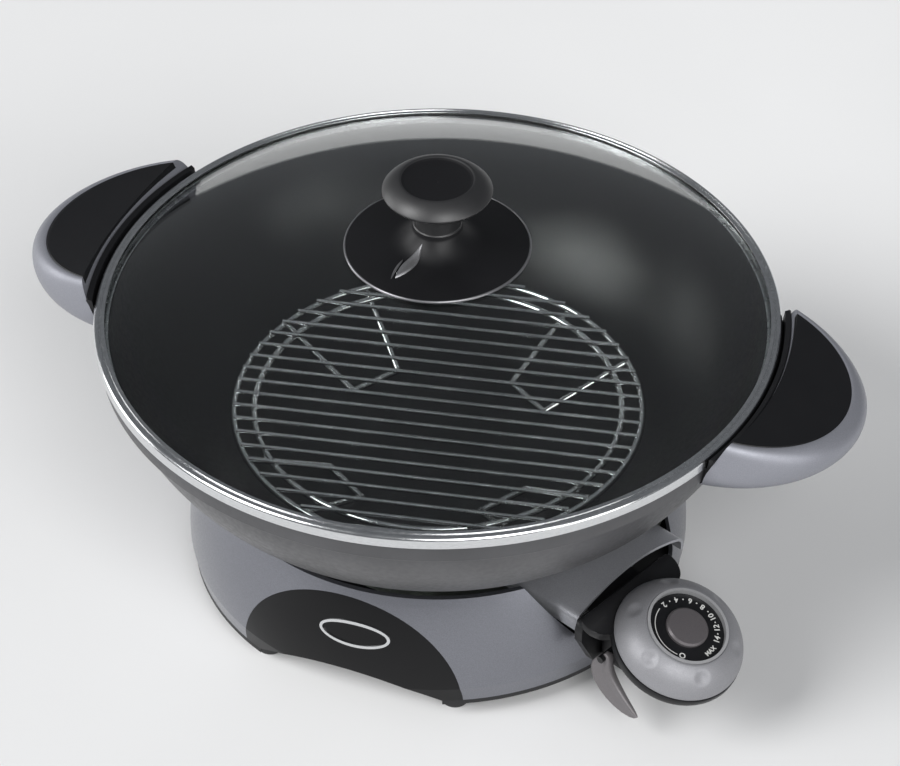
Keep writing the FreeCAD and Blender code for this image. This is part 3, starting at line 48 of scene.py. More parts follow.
# The camera is described in a frame turned with it about the pan's axis, from the lid ring's centre.
VIEW_TURN = math.radians(22)
RING_HEIGHT = 0.167
CAMERA_DISTANCE = 1.700
CAMERA_RISE = 0.67640
CAMERA_PITCH = 0.69942
CAMERA_YAW = 0.004833
FOCAL_PIXELS = 3244.6
IMAGE_WIDTH = 900
SENSOR = 36.0
NEAREST = 0.05

FLOOR_SIZE = 12
WORLD_COLOR = (0.90, 0.94, 1.0)
WORLD_STRENGTH = 0.17
# Each lamp: name, direction from the part, spread in degrees and strength.
LAMPS = (
    ("key", (-1.5, -1.5, 1.7), 30, 2.25),
    ("fill", (1.5, -1.9, 1.9), 32, 1.7),
    ("edge", (-2.2, -0.1, 0.45), 26, 0.8),
    ("low", (2.1, -0.9, 0.65), 26, 0.7),
)


def make_camera():
    turn = Matrix.Rotation(VIEW_TURN, 3, "Z")
    place = Vector((0, -math.cos(CAMERA_RISE), math.sin(CAMERA_RISE))) * CAMERA_DISTANCE
    ahead = Vector((
        math.sin(CAMERA_YAW) * math.cos(CAMERA_PITCH),
        math.cos(CAMERA_YAW) * math.cos(CAMERA_PITCH),
        -math.sin(CAMERA_PITCH),
    ))
    data = bpy.data.cameras.new("camera")
    data.sensor_width = SENSOR
    data.lens = FOCAL_PIXELS * SENSOR / IMAGE_WIDTH
    data.clip_start = NEAREST
    camera = bpy.data.objects.new("camera", data)
    bpy.context.scene.collection.objects.link(camera)
    camera.location = turn @ place + Vector((0, 0, RING_HEIGHT))
    camera.rotation_euler = (turn @ ahead).to_track_quat("-Z", "Y").to_euler()
    bpy.context.scene.camera = camera


def soft_light(name, direction, spread, strength):
    """A broad, distant lamp in a direction from the part; its spread is in degrees."""
    data = bpy.data.lights.new(name, "SUN")
    data.angle = math.radians(spread)
    data.energy = strength
    lamp = bpy.data.objects.new(name, data)
    bpy.context.scene.collection.objects.link(lamp)
    lamp.location = direction
    lamp.rotation_euler = (-Vector(direction)).to_track_quat("-Z", "Y").to_euler()


def make_studio():
    """The world's light, the lamps and the floor."""
    world = bpy.data.worlds.new("studio")
    bpy.context.scene.world = world
    world.use_nodes = True
    back = world.node_tree.nodes["Background"]
    back.inputs["Color"].default_value = (*WORLD_COLOR, 1)
    back.inputs["Strength"].default_value = WORLD_STRENGTH
    for lamp in LAMPS:
        soft_light(*lamp)
    bpy.ops.mesh.primitive_plane_add(size=FLOOR_SIZE, location=(0, 0, 0))
    floor = bpy.context.object
    floor.name = "floor"
    floor.data.materials.append(floor_material())


# ---------------------------------------------------------------- materials


class Shader:
    """A material with one Principled shader and short calls for what feeds it."""

    def __init__(self, name, color, rough, metallic=0.0, **sockets):
        self.material = bpy.data.materials.new(name)
        self.material.use_nodes = True
        self.nodes = self.material.node_tree.nodes
        self.links = self.material.node_tree.links
        self.shader = self.nodes["Principled BSDF"]
        self.shader.inputs["Base Color"].default_value = (*color, 1)
        self.shader.inputs["Roughness"].default_value = rough
        self.shader.inputs["Metallic"].default_value = metallic
        for socket, value in sockets.items():
            self.shader.inputs[socket.replace("_", " ")].default_value = value
        self.place = self.nodes.new("ShaderNodeTexCoord").outputs["Object"]

    def stretched(self, x, y, z):
        """The object's coordinates, scaled along each axis."""
        mapping = self.nodes.new("ShaderNodeMapping")
        mapping.inputs["Scale"].default_value = (x, y, z)
        self.links.new(self.place, mapping.inputs["Vector"])
        return mapping.outputs["Vector"]

    def noise(self, scale, detail=3, vector=None, rough=0.5):
        node = self.nodes.new("ShaderNodeTexNoise")
        node.inputs["Scale"].default_value = scale
        node.inputs["Detail"].default_value = detail
        node.inputs["Roughness"].default_value = rough
        self.links.new(vector or self.place, node.inputs["Vector"])
        return node.outputs["Fac"]

    def cells(self, scale):
        node = self.nodes.new("ShaderNodeTexVoronoi")
        node.inputs["Scale"].default_value = scale
        self.links.new(self.place, node.inputs["Vector"])
        return node.outputs["Distance"]

    def spread(self, value, low, high, start=0.3, end=0.7):
        """Maps a texture's middle range to low..high."""
        node = self.nodes.new("ShaderNodeMapRange")
        node.inputs["From Min"].default_value = start
        node.inputs["From Max"].default_value = end
        node.inputs["To Min"].default_value = low
        node.inputs["To Max"].default_value = high
        self.links.new(value, node.inputs["Value"])
        return node.outputs["Result"]

    def vary(self, socket, value, low, high, start=0.3, end=0.7):
        self.links.new(self.spread(value, low, high, start, end), self.shader.inputs[socket])
        return self

    def tint(self, value, dark, light, start=0.3, end=0.7):
        """The base colour runs between two colours along a texture."""
        node = self.nodes.new("ShaderNodeMix")
        node.data_type = "RGBA"
        self.links.new(self.spread(value, 0, 1, start, end), node.inputs["Factor"])
        node.inputs[6].default_value = (*dark, 1)
        node.inputs[7].default_value = (*light, 1)
        self.links.new(node.outputs[2], self.shader.inputs["Base Color"])
        return self

    def bump(self, value, strength, distance):
        node = self.nodes.new("ShaderNodeBump")
        node.inputs["Strength"].default_value = strength
        node.inputs["Distance"].default_value = distance
        self.links.new(value, node.inputs["Height"])
        self.links.new(node.outputs["Normal"], self.shader.inputs["Normal"])
        return self


def shade(color, share):
    """The colour made darker or lighter."""
    return tuple(min(c * share, 1) for c in color)


def floor_material():
    skin = Shader("floor_paper", (0.80, 0.80, 0.80), 0.75)
    skin.tint(skin.noise(3), (0.78, 0.78, 0.78), (0.82, 0.82, 0.82))
    return skin.material


def metallic_paint(name, color, rough, metallic=0.75):
    """Paint with fine metal flake: the flake turns the surface a little, and the colour with it."""
    skin = Shader(name, color, rough, metallic, Coat_Weight=0.35, Coat_Roughness=0.12)
    flake = skin.cells(2600)
    skin.tint(flake, shade(color, 0.86), shade(color, 1.14), 0.1, 0.7)
    skin.vary("Roughness", skin.noise(900, 2), rough - 0.04, rough + 0.06)
    skin.bump(flake, 0.10, 0.00004)
    return skin.material


def moulded_plastic(name, color, rough, grain=1500, depth=0.00004, specular=0.4):
    """Plastic from a lightly etched mould."""
    skin = Shader(name, color, rough, Specular_IOR_Level=specular)
    skin.tint(skin.noise(14), shade(color, 0.9), shade(color, 1.12))
    skin.vary("Roughness", skin.noise(60, 4), rough - 0.05, rough + 0.06)
    skin.bump(skin.noise(grain, 2), 0.35, depth)
    return skin.material


def satin_plastic(name, color, rough):
    """Plastic with a satin metallic paint that spreads its highlights."""
    skin = Shader(name, color, rough, 0.45, Specular_IOR_Level=0.4)
    skin.tint(skin.cells(3000), shade(color, 0.9), shade(color, 1.1), 0.1, 0.7)
    skin.vary("Roughness", skin.noise(500, 3), rough - 0.04, rough + 0.05)
    skin.bump(skin.noise(1800, 2), 0.25, 0.00003)
    return skin.material


def polished_steel(name, rough):
    """Steel with the faint lines of its polishing wheel."""
    skin = Shader(name, (0.70, 0.71, 0.72), rough, 1.0)
    lines = skin.noise(400, 3, skin.stretched(1, 1, 12))
    skin.tint(lines, (0.62, 0.63, 0.64), (0.78, 0.79, 0.80))
    skin.vary("Roughness", skin.noise(90, 3), rough - 0.03, rough + 0.06)
    skin.bump(lines, 0.06, 0.00003)
    return skin.material


def sheet_steel(name, color, rough=0.38):
    """Plain rolled sheet: long soft grain and a little staining."""
    skin = Shader(name, color, rough, 0.9)
    grain = skin.noise(160, 5, skin.stretched(1, 14, 14))
    skin.tint(skin.noise(22, 4), shade(color, 0.82), shade(color, 1.15))
    skin.vary("Roughness", grain, rough - 0.07, rough + 0.09)
    skin.bump(grain, 0.15, 0.00005)
    return skin.material


def cast_coating(name, color, rough, specular=0.55):
    """Sprayed non-stick coat over cast metal: fine orange peel and a broad sheen."""
    skin = Shader(name, color, rough, 0.0, Specular_IOR_Level=specular)
    skin.tint(skin.noise(30, 4), shade(color, 0.85), shade(color, 1.15))
    skin.vary("Roughness", skin.noise(350, 3), rough - 0.05, rough + 0.07)
    skin.bump(skin.noise(1100, 3), 0.30, 0.00006)
    return skin.material


def rubber(name, color):
    skin = Shader(name, color, 0.72)
    skin.tint(skin.noise(40, 4), shade(color, 0.8), shade(color, 1.3))
    skin.bump(skin.noise(800, 4), 0.4, 0.00008)
    return skin.material


def clear_glass():
    skin = Shader("lid_glass", (0.96, 0.985, 0.975), 0.0, 0.0, Transmission_Weight=1.0, IOR=1.45)
    skin.vary("Roughness", skin.noise(25, 4), 0.0, 0.012, 0.45, 0.8)
    return skin.material


def make_materials():
    """Every finish by its name; most have the name of a material slot."""
    return {
        "base_silver": metallic_paint("base_silver", (0.20, 0.205, 0.23), 0.33, 0.9),
        "panel_black": moulded_plastic("panel_black", (0.0035, 0.0035, 0.004), 0.33, 900, 0.00002, 0.25),
        "badge_steel": polished_steel("badge_steel", 0.16),
        "floor_black": moulded_plastic("floor_black", (0.012, 0.012, 0.013), 0.50),
        "foot_rubber": rubber("foot_rubber", (0.022, 0.022, 0.023)),
        # Painted light: the shield's sheet is made lighter and tinted grey-green to stand in for the lit
        # facet behind the probe's notch, which lies in shade.
        "shield_steel": sheet_steel("shield_steel", (0.42, 0.45, 0.42)),
        "screw_steel": sheet_steel("screw_steel", (0.60, 0.60, 0.60), 0.3),
        "pan_cast": cast_coating("pan_cast", (0.060, 0.060, 0.064), 0.40),
        "pan_lining": cast_coating("pan_lining", (0.005, 0.005, 0.006), 0.40, 0.4),
        "pan_land": polished_steel("pan_land", 0.26),
        "element_steel": sheet_steel("element_steel", (0.20, 0.20, 0.19), 0.55),
        "terminal_metal": polished_steel("terminal_metal", 0.22),
        "ceramic": moulded_plastic("ceramic", (0.78, 0.76, 0.70), 0.25),
        # Painted light: the probe's guard has the base's silver paint, made lighter and less metallic to
        # make up for the pan's shade over it.
        "guard_silver": metallic_paint("guard_silver", (0.34, 0.345, 0.37), 0.38, 0.5),
        "handle_silver": satin_plastic("handle_silver", (0.25, 0.255, 0.285), 0.44),
        "handle_black": moulded_plastic("handle_black", (0.005, 0.005, 0.006), 0.42),
        "rim_steel": polished_steel("rim_steel", 0.18),
        "plate_edge": metallic_paint("plate_edge", (0.22, 0.22, 0.23), 0.32),
        "vent_lip": metallic_paint("vent_lip", (0.26, 0.26, 0.27), 0.36),
        "gasket_rubber": rubber("gasket_rubber", (0.05, 0.05, 0.05)),
        "lid_glass": clear_glass(),
        "plate_black": moulded_plastic("plate_black", (0.006, 0.006, 0.007), 0.50, specular=0.3),
        "knob_black": moulded_plastic("knob_black", (0.012, 0.012, 0.013), 0.46, specular=0.75),
        "rack_wire": polished_steel("rack_wire", 0.20),
        "control_black": moulded_plastic("control_black", (0.006, 0.006, 0.007), 0.40),
        "dial_silver": satin_plastic("dial_silver", (0.27, 0.27, 0.285), 0.50),
        "dial_lip": satin_plastic("dial_lip", (0.46, 0.46, 0.47), 0.36),
        "dial_cap": satin_plastic("dial_cap", (0.13, 0.12, 0.125), 0.45),
        "dial_black": moulded_plastic("dial_black", (0.007, 0.007, 0.008), 0.34),
        "dial_ink": moulded_plastic("dial_ink", (0.62, 0.62, 0.60), 0.5),
        "lever_grey": satin_plastic("lever_grey", (0.17, 0.16, 0.165), 0.42),
        "contact_brass": sheet_steel("contact_brass", (0.62, 0.47, 0.20), 0.3),
    }


# Fittings whose finish departs from their slot's.
OWN_FINISH = {
    "lever_pin": "control_black",
    "knob_collar": "knob_black",
    "dial_ring": "dial_lip",
    "dial_cap": "dial_cap",
}


def dress_nodes(skins):
    """Every CAD node gets the detailed material of its slot."""
    for row in frame["record"]["subparts"]:
        node = frame["nodes"][row["node"]]
        node.data.materials.clear()
        node.data.materials.append(skins[OWN_FINISH.get(row["node"], row["material_slot"])])


# ---------------------------------------------------------------- shapes

# Sizes of the solids that the pieces keep to, in millimetres and degrees.
PAN_RIM_RADIUS = 178
PAN_RIM_TOP = 162
PAN_RIM_BOTTOM = 152
PAN_LAND_START = 171.47
PAN_CURVE = 106.5
PAN_CURVE_END = 173.64
PAN_WALL = 4
PAN_FLAT_RADIUS = 70
PAN_BOTTOM = 70
PAN_BOSS_RADIUS = 6
PAN_BOSS_BOTTOM = 63
GLASS_CURVE = 363.56
GLASS_TOP = 212.0
GLASS_WALL = 3.0
GLASS_RADIUS = 175.2
BOLT_HOLE = 3.1
TRIM_RADIUS = 48.6
PLATE_TOP = 213.0
PROBE_ANGLE = -21.5
PROBE_HALF_WIDTH = 35
DIAL_PLACE = (183.5, -12, 60)
DIAL_TILT = 22.5

# Share of an edge that the rounding of one corner may use.
CORNER_SHARE = 0.45
# Faces whose normal rises more than this face up.
FACING_UP = 0.3


def arc(start, end, radius, steps=14):
    """Points along an arc from start to end, without the first. A positive radius turns left."""
    first, last = Vector(start), Vector(end)
    across = last - first
    height = math.sqrt(max(radius ** 2 - across.length_squared / 4, 0))
    side = Vector((-across.y, across.x)).normalized() * math.copysign(height, radius)
    centre = (first + last) / 2 + side
    begin = math.atan2(first.y - centre.y, first.x - centre.x)
    turn = math.atan2(last.y - centre.y, last.x - centre.x) - begin
    turn = (turn + math.pi) % (2 * math.pi) - math.pi
    size = abs(radius)
    angles = [begin + turn * step / steps for step in range(1, steps + 1)]
    return [(centre.x + size * math.cos(angle), centre.y + size * math.sin(angle)) for angle in angles]


def path(*marks):
    """An outline; a mark is a point, or a point with the radius (and steps) of the arc that leads to it."""
    points = []
    for mark in marks:
        if len(mark) == 2:
            points.append(mark)
        else:
            points.extend(arc(points[-1], mark[:2], *mark[2:]))
    return points


def softened(points, radius, least=24):
    """The closed outline with each corner sharper than the least angle rounded off."""
    result = []
    count = len(points)
    for index, point in enumerate(points):
        here = Vector(point)
        back = Vector(points[index - 1]) - here
        ahead = Vector(points[(index + 1) % count]) - here
        if min(back.length, ahead.length) < 1e-6 or 180 - math.degrees(back.angle(ahead)) < least:
            result.append(point)
            continue
        size = min(radius, CORNER_SHARE * back.length, CORNER_SHARE * ahead.length)
        start = here + back.normalized() * size
        end = here + ahead.normalized() * size
        for share in (0, 0.25, 0.5, 0.75, 1):
            spot = start * (1 - share) ** 2 + here * 2 * share * (1 - share) + end * share ** 2
            result.append(tuple(spot))
    return result


def lathed(points, steps=256, push=None):
    """A closed outline of (radius, height) turned about Z."""
    build = bmesh.new()
    rings = []
    for step in range(steps):
        angle = 2 * math.pi * step / steps
        ring = []
        for radius, height in points:
            if push:
                radius, height = push(radius, height, angle)
            spot = (radius * math.cos(angle) * MM, radius * math.sin(angle) * MM, height * MM)
            ring.append(build.verts.new(spot))
        rings.append(ring)
    for index, ring in enumerate(rings):
        other = rings[(index + 1) % steps]
        for place in range(len(points)):
            after = (place + 1) % len(points)
            if points[place][0] == 0 and points[after][0] == 0:
                continue
            build.faces.new((ring[place], other[place], other[after], ring[after]))
    return closed_mesh(build)


def closed_mesh(build):
    """The build as a mesh, with its seams joined and its faces turned outward."""
    bmesh.ops.remove_doubles(build, verts=build.verts, dist=1e-7)
    bmesh.ops.recalc_face_normals(build, faces=build.faces)
    mesh = bpy.data.meshes.new("shape")
    build.to_mesh(mesh)
    build.free()
    return mesh


def piece(name, mesh, body, skin, nodes=(), crease=32):
    """A finished piece on a body, which takes the place of the CAD nodes that it names."""
    mesh.name = name
    if not mesh.materials:
        mesh.materials.append(skin)
    mesh.shade_smooth()
    mesh.set_sharp_from_angle(angle=math.radians(crease))
    item = bpy.data.objects.new(name, mesh)
    bpy.context.scene.collection.objects.link(item)
    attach(item, body)
    if nodes:
        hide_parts(*nodes)
    return item


def dome(radius, rise=0.0):
    """The height of the glass's outer face at a radius, plus a rise."""
    return GLASS_TOP - GLASS_CURVE + math.sqrt(GLASS_CURVE ** 2 - radius ** 2) + rise


def add_skin(build, rings):
    """Joins closed rings of points in millimetres, one after the other, and closes both ends."""
    rows = [[build.verts.new(Vector(spot) * MM) for spot in ring] for ring in rings]
    count = len(rows[0])
    for row, other in zip(rows, rows[1:]):
        for place in range(count):
            after = (place + 1) % count
            build.faces.new((row[place], row[after], other[after], other[place]))
    build.faces.new(rows[0])
    build.faces.new(rows[-1])


def skinned(rings):
    """A closed mesh over rings of points in millimetres."""
    build = bmesh.new()
    add_skin(build, rings)
    return closed_mesh(build)


def cut_by(mesh, tool):
    """The mesh without the tool's volume."""
    body = bpy.data.objects.new("uncut", mesh)
    knife = bpy.data.objects.new("knife", tool)
    for item in (knife, body):
        bpy.context.scene.collection.objects.link(item)
    trim = body.modifiers.new("trim", "BOOLEAN")
    trim.operation = "DIFFERENCE"
    trim.object = knife
    trim.solver = "EXACT"
    cut = bpy.data.meshes.new_from_object(body.evaluated_get(bpy.context.evaluated_depsgraph_get()))
    for item in (knife, body):
        bpy.data.objects.remove(item)
    return cut


# ---------------------------------------------------------------- pan and lid

# Rounding of the bowl's edges, and how far beyond the top of its wall the bright land starts.
PAN_ROUNDING = 0.9
LAND_INSET = 0.33


def make_bowl(skins):
    """The cast pan: grey outside, black inside, with a bright land on its rim."""
    points = path(
        (0, PAN_BOSS_BOTTOM), (PAN_BOSS_RADIUS, PAN_BOSS_BOTTOM), (PAN_BOSS_RADIUS, PAN_BOTTOM),
        (PAN_FLAT_RADIUS, PAN_BOTTOM), (PAN_CURVE_END, PAN_RIM_BOTTOM, PAN_CURVE, 60),
        (PAN_RIM_RADIUS, PAN_RIM_BOTTOM), (PAN_RIM_RADIUS, PAN_RIM_TOP), (PAN_LAND_START, PAN_RIM_TOP),
        (PAN_FLAT_RADIUS, PAN_BOTTOM + PAN_WALL, PAN_WALL - PAN_CURVE, 60), (0, PAN_BOTTOM + PAN_WALL),
    )
    mesh = lathed(softened(points, PAN_ROUNDING), 320)
    for skin in (skins["pan_cast"], skins["pan_lining"], skins["pan_land"]):
        mesh.materials.append(skin)
    land_height = (PAN_RIM_TOP - PAN_ROUNDING / 2) * MM
    land_start = (PAN_LAND_START + LAND_INSET) * MM
    for face in mesh.polygons:
        inward = face.normal.x * face.center.x + face.normal.y * face.center.y < -0.5 * MM
        if face.center.z > land_height and face.center.xy.length > land_start:
            face.material_index = 2
        elif inward or face.normal.z > FACING_UP:
            face.material_index = 1
    piece("bowl", mesh, "pan", skins["pan_cast"], ["wok_bowl"], 40)


# Section of the rolled steel ring, with a groove in its top.
RING_SECTION = (
    (174, 162.3), (180, 162.3), (180, 166.3), (177.5, 168.9, 2.6), (177.1, 168.9), (176.9, 168.35),
    (176.3, 168.35), (176.1, 168.95), (174, 169.1), (174, 168.1), (177, 167.9), (179, 166.3), (179, 163.3),
    (174, 163.3),
)
PLATE_RADIUS = 47.5
PLATE_WALL = 1
TRIM_GAP = 0.05
TRIM_CREST = 0.6
TRIM_RISES = (1.1, 1.2, 0.8)


def make_lid(skins):
    """The lid: steel ring, glass, centre plate with its trim, vent and knob."""
    ring = lathed(softened(path(*RING_SECTION), 0.35), 384)
    piece("lid_ring", ring, "lid", skins["rim_steel"], ["lid_rim"], 50)

    inner_curve = GLASS_CURVE - GLASS_WALL
    low = GLASS_TOP - GLASS_CURVE + math.sqrt(inner_curve ** 2 - GLASS_RADIUS ** 2)
    glass = path(
        (BOLT_HOLE, dome(BOLT_HOLE)), (GLASS_RADIUS, dome(GLASS_RADIUS), -GLASS_CURVE, 64),
        (GLASS_RADIUS, low), (BOLT_HOLE, dome(0, -GLASS_WALL), inner_curve, 64),
    )
    mesh = without_vent(lathed(glass, 256))
    piece("glass_dome", mesh, "lid", skins["lid_glass"], ["lid_glass"])

    plate = path(
        (BOLT_HOLE, dome(BOLT_HOLE)), (PLATE_RADIUS, dome(PLATE_RADIUS), -GLASS_CURVE, 20),
        (PLATE_RADIUS, dome(PLATE_RADIUS, PLATE_WALL)),
        (BOLT_HOLE, dome(BOLT_HOLE, PLATE_WALL), GLASS_CURVE, 20),
    )
    mesh = without_vent(lathed(plate, 192))
    piece("centre_plate", mesh, "lid", skins["plate_black"], ["lid_plate"])

    inside = PLATE_RADIUS + TRIM_GAP
    inner, crest, outer = TRIM_RISES
    edge = [
        (inside, dome(PLATE_RADIUS)), (TRIM_RADIUS, dome(TRIM_RADIUS)),
        (TRIM_RADIUS, dome(TRIM_RADIUS, outer)), (PLATE_RADIUS + TRIM_CREST, dome(PLATE_RADIUS, crest)),
        (inside, dome(PLATE_RADIUS, inner)),
    ]
    mesh = lathed(softened(edge, 0.3), 256)
    piece("plate_edge", mesh, "lid", skins["plate_edge"], ["lid_trim"], 50)
    make_vent(skins)
    make_knob(skins)


# The knob's foot flares out over the plate. It stops short of the neck, and its edge stands over the glass.
FLARE_RADIUS = 25.0
FLARE_RISE = 9.5
FLARE_BEND = 2.2
FLARE_STOP = 0.8
FLARE_EDGE = 0.9
NECK_RADIUS = 12.2


def deck(radius, rise=0.0):
    """The height of the plate's top, and nearer the middle of the knob's flared foot."""
    share = min(max((FLARE_RADIUS - radius) / (FLARE_RADIUS - NECK_RADIUS), 0), 1)
    return dome(radius, PLATE_WALL + FLARE_RISE * share ** FLARE_BEND + rise)


# The vent is a leaf-shaped blister, and a lip stands beyond the slot at its side. Pairs of lengths run
# along and across the leaf.
VENT_DISTANCE = 26.4
VENT_ANGLE = 255.3
VENT_TURN = 75
SLOT_LEAF = (9.5, 1.6)
SLOT_SHIFT = (-1.2, 1.6)
SLOT_LEVELS = (150, 230)
BLISTER_LEAF = (11.6, 3.1)
BLISTER_SHIFT = (0.6, -0.9)
BLISTER_RINGS = ((1.0, 0.0), (0.93, 0.75), (0.75, 1.15), (0.45, 1.4), (0.15, 1.5))
LIP_START = -12.4
LIP_LENGTH = 14.0
LIP_WIDTHS = (0.25, 1.1)
LIP_BOW = 4.1
LIP_BOW_LENGTH = 13.5
LIP_BLUNTNESS = 0.7
LIP_SECTION = ((0.0, 0.0), (0.1, 0.7), (0.5, 1.0), (0.9, 0.7), (1.0, 0.0))


def leaf_place(along, across):
    """A point of the vent's leaf in the part's frame, from its distances along and across the leaf."""
    place = Vector((
        VENT_DISTANCE * math.cos(math.radians(VENT_ANGLE)),
        VENT_DISTANCE * math.sin(math.radians(VENT_ANGLE)),
    ))
    return place + Matrix.Rotation(math.radians(VENT_TURN), 2) @ Vector((along, across))


def leaf_edge(leaf, steps):
    """Points of a leaf's edge, from its half length and half width."""
    turns = [2 * math.pi * (step + 0.5) / steps for step in range(steps)]
    return [
        (leaf[0] * math.cos(turn), math.copysign(leaf[1] * math.sin(turn) ** 2, math.sin(turn)))
        for turn in turns
    ]


def without_vent(mesh):
    """The mesh with the vent's slot cut through it."""
    levels = []
    for height in SLOT_LEVELS:
        level = []
        for along, across in leaf_edge(SLOT_LEAF, 48):
            spot = leaf_place(along + SLOT_SHIFT[0], across + SLOT_SHIFT[1])
            level.append((spot.x, spot.y, height))
        levels.append(level)
    return cut_by(mesh, skinned(levels))


def make_vent(skins):
    """The vent's blister, and the lip beside its slot."""
    build = bmesh.new()
    blister = []
    for share, lift in BLISTER_RINGS:
        ring = []
        for along, across in leaf_edge(BLISTER_LEAF, 72):
            spot = leaf_place(share * along + BLISTER_SHIFT[0], share * across + BLISTER_SHIFT[1])
            ring.append((spot.x, spot.y, deck(spot.length, lift)))
        blister.append(ring)
    add_skin(build, blister)
    lip = []
    steps = 24
    for step in range(steps + 1):
        along = LIP_START + LIP_LENGTH * step / steps
        width = LIP_WIDTHS[0] + LIP_WIDTHS[1] * math.sin(math.pi * step / steps) ** LIP_BLUNTNESS
        across = LIP_BOW * (1 - (along / LIP_BOW_LENGTH) ** 2)
        ring = []
        for share, lift in LIP_SECTION:
            spot = leaf_place(along, across - share * width)
            ring.append((spot.x, spot.y, deck(spot.length, lift)))
        lip.append(ring)
    add_skin(build, lip)
    piece("vent_lip", closed_mesh(build), "lid", skins["vent_lip"], ["steam_vent"], 60)


KNOB_BORE = 3
# The knob has the plate's finish below the flare's top and in the dish of its cap.
FLARE_TOP = 223.3
DISH_HEIGHT = 248.5
DISH_RADIUS = 18.6
# Section of the knob from the top of its flare, around the cap and down to the bore for its screw.
KNOB_SECTION = (
    (NECK_RADIUS + 0.5, 223.4), (NECK_RADIUS, 223.9), (NECK_RADIUS - 0.2, 235), (15.5, 238.4, -5, 8),
    (27.0, 242.6), (28.2, 243.8), (28.4, 244.7), (19.9, 251.4, 17, 14), (19.2, 251.5), (18.4, 251.0),
    (17.2, 250.3), (9, 249.5), (0, 249.3), (0, 235), (KNOB_BORE, 235),
)


def make_knob(skins):
    """The knob, satin on its cap and neck, and black like the plate on its foot and in its dish."""
    steps = 16
    width = FLARE_RADIUS - NECK_RADIUS - FLARE_STOP
    foot = [FLARE_RADIUS - width * step / steps for step in range(steps + 1)]
    points = [(KNOB_BORE, PLATE_TOP), (FLARE_RADIUS, dome(FLARE_RADIUS, FLARE_EDGE))]
    points += [(radius, deck(radius)) for radius in foot]
    points += path(*KNOB_SECTION)
    mesh = lathed(softened(points, 0.7, 16), 192)
    mesh.materials.append(skins["knob_black"])
    mesh.materials.append(skins["plate_black"])
    for face in mesh.polygons:
        on_foot = face.center.z < FLARE_TOP * MM
        in_dish = face.center.z > DISH_HEIGHT * MM and face.center.xy.length < DISH_RADIUS * MM
        if on_foot or in_dish:
            face.material_index = 1
    piece("knob_cap", mesh, "lid", skins["knob_black"], ["knob"], 50)


# ---------------------------------------------------------------- handles

# Each handle is an oval that tips down away from the pan, cut to the pan's round side.
HANDLE_MIDDLE = 160.0
HANDLE_OVAL = (63.5, 58.5)
HANDLE_BULGE = (7.8, 6.4)
TOP_START = 175
TOP_HEIGHT = 177.0
TOP_FALL = 0.2245
HANDLE_WIDEST = 158.0
HANDLE_FOOT = 149.5
HANDLE_CEILING = 160.0
HANDLE_WALL = 3.0
# How far the two edges of the shell's foot lie outside the oval, along and across.
FOOT_INNER = (1.2, 0.6)
FOOT_OUTER = (3.6, 2.9)
# The bulge's section runs from below its widest line up to the top edge, by these turns.
BULGE_TURNS = (150, 90, 6)
# The shell's top edge, as steps inward from the oval and down to the cover's seat.
TOP_EDGE = ((0.2, 0), (0.7, 0.3), (0.7, 4.3))
COVER_GAP = 0.9
COVER_WALL = 4.2
COVER_EDGE = 0.5
COVER_SINK = 0.1
COVER_DISH = 3.0
COVER_SHARES = (0.993, 0.97, 0.93, 0.87, 0.8, 0.7, 0.6, 0.5, 0.4, 0.3, 0.2, 0.1)
# Outline of the space that the pan and the lid need, leaning out over the rim.
PAN_SPACE = (
    (0, 120), (176, 120), (176, 150.5), (178.9, 152.2), (181.2, 160), (184.9, 169), (194, 196), (0, 196),
)
# The bracket: a curved strip of this section, and a tab of (distance, half width) under the handle.
BRACKET_SPREAD = 20.4
BRACKET_SECTION = (
    (178.4, 153), (179.0, 153), (181.0, 160), (184.6, 168.8), (183.9, 169.4), (181.6, 168.6), (180.6, 162.2),
    (178.4, 161.4),
)
TAB_OUTLINE = ((182, 20), (202, 20), (205, 18.5), (206.4, 15))
TAB_LEVELS = (157, 160)


def handle_top(out):
    """The height of the handle's top edge at a distance from the pan's axis."""
    return TOP_HEIGHT - TOP_FALL * (out - TOP_START)


def oval(long, wide, height, steps=160):
    """A ring of the handle's oval; the height is a number or a function of the distance from the axis."""
    ring = []
    for step in range(steps):
        turn = 2 * math.pi * step / steps
        x = HANDLE_MIDDLE + long * math.cos(turn)
        ring.append((x, wide * math.sin(turn), height(x) if callable(height) else height))
    return ring


def handle_shell():
    """Rings of the silver shell, from its ceiling around the foot and up to the cover."""
    long, wide = HANDLE_OVAL
    low, middle, high = BULGE_TURNS

    def bulged(turn, height):
        return oval(long + HANDLE_BULGE[0] * math.sin(turn), wide + HANDLE_BULGE[1] * math.sin(turn), height)

    rings = [
        oval(long - HANDLE_WALL, wide - HANDLE_WALL, HANDLE_CEILING),
        oval(long + FOOT_INNER[0], wide + FOOT_INNER[1], HANDLE_FOOT),
        oval(long + FOOT_OUTER[0], wide + FOOT_OUTER[1], HANDLE_FOOT),
    ]
    steps = 8
    for step in range(1, steps + 1):
        turn = math.radians(low - (low - middle) * step / steps)
        fall = (HANDLE_WIDEST - HANDLE_FOOT) * math.cos(turn) / math.cos(math.radians(low))
        rings.append(bulged(turn, HANDLE_WIDEST - fall))
    steps = 14
    for step in range(1, steps + 1):
        turn = math.radians(middle - (middle - high) * step / steps)
        rise = math.cos(turn)
        rings.append(bulged(turn, lambda x: HANDLE_WIDEST + (handle_top(x) - HANDLE_WIDEST) * rise))
    for inset, drop in TOP_EDGE:
        rings.append(oval(long - inset, wide - inset, lambda x: handle_top(x) - drop))
    return rings


def handle_cover():
    """Rings of the black cover, whose top is a shallow dish."""
    long, wide = (half - COVER_GAP for half in HANDLE_OVAL)
    rings = [oval(long, wide, lambda x: handle_top(x) - drop) for drop in (COVER_WALL, COVER_EDGE)]
    for share in COVER_SHARES:
        drop = COVER_DISH * (1 - share ** 2)
        rings.append(oval(long * share, wide * share, lambda x: handle_top(x) - drop - COVER_SINK))
    return rings


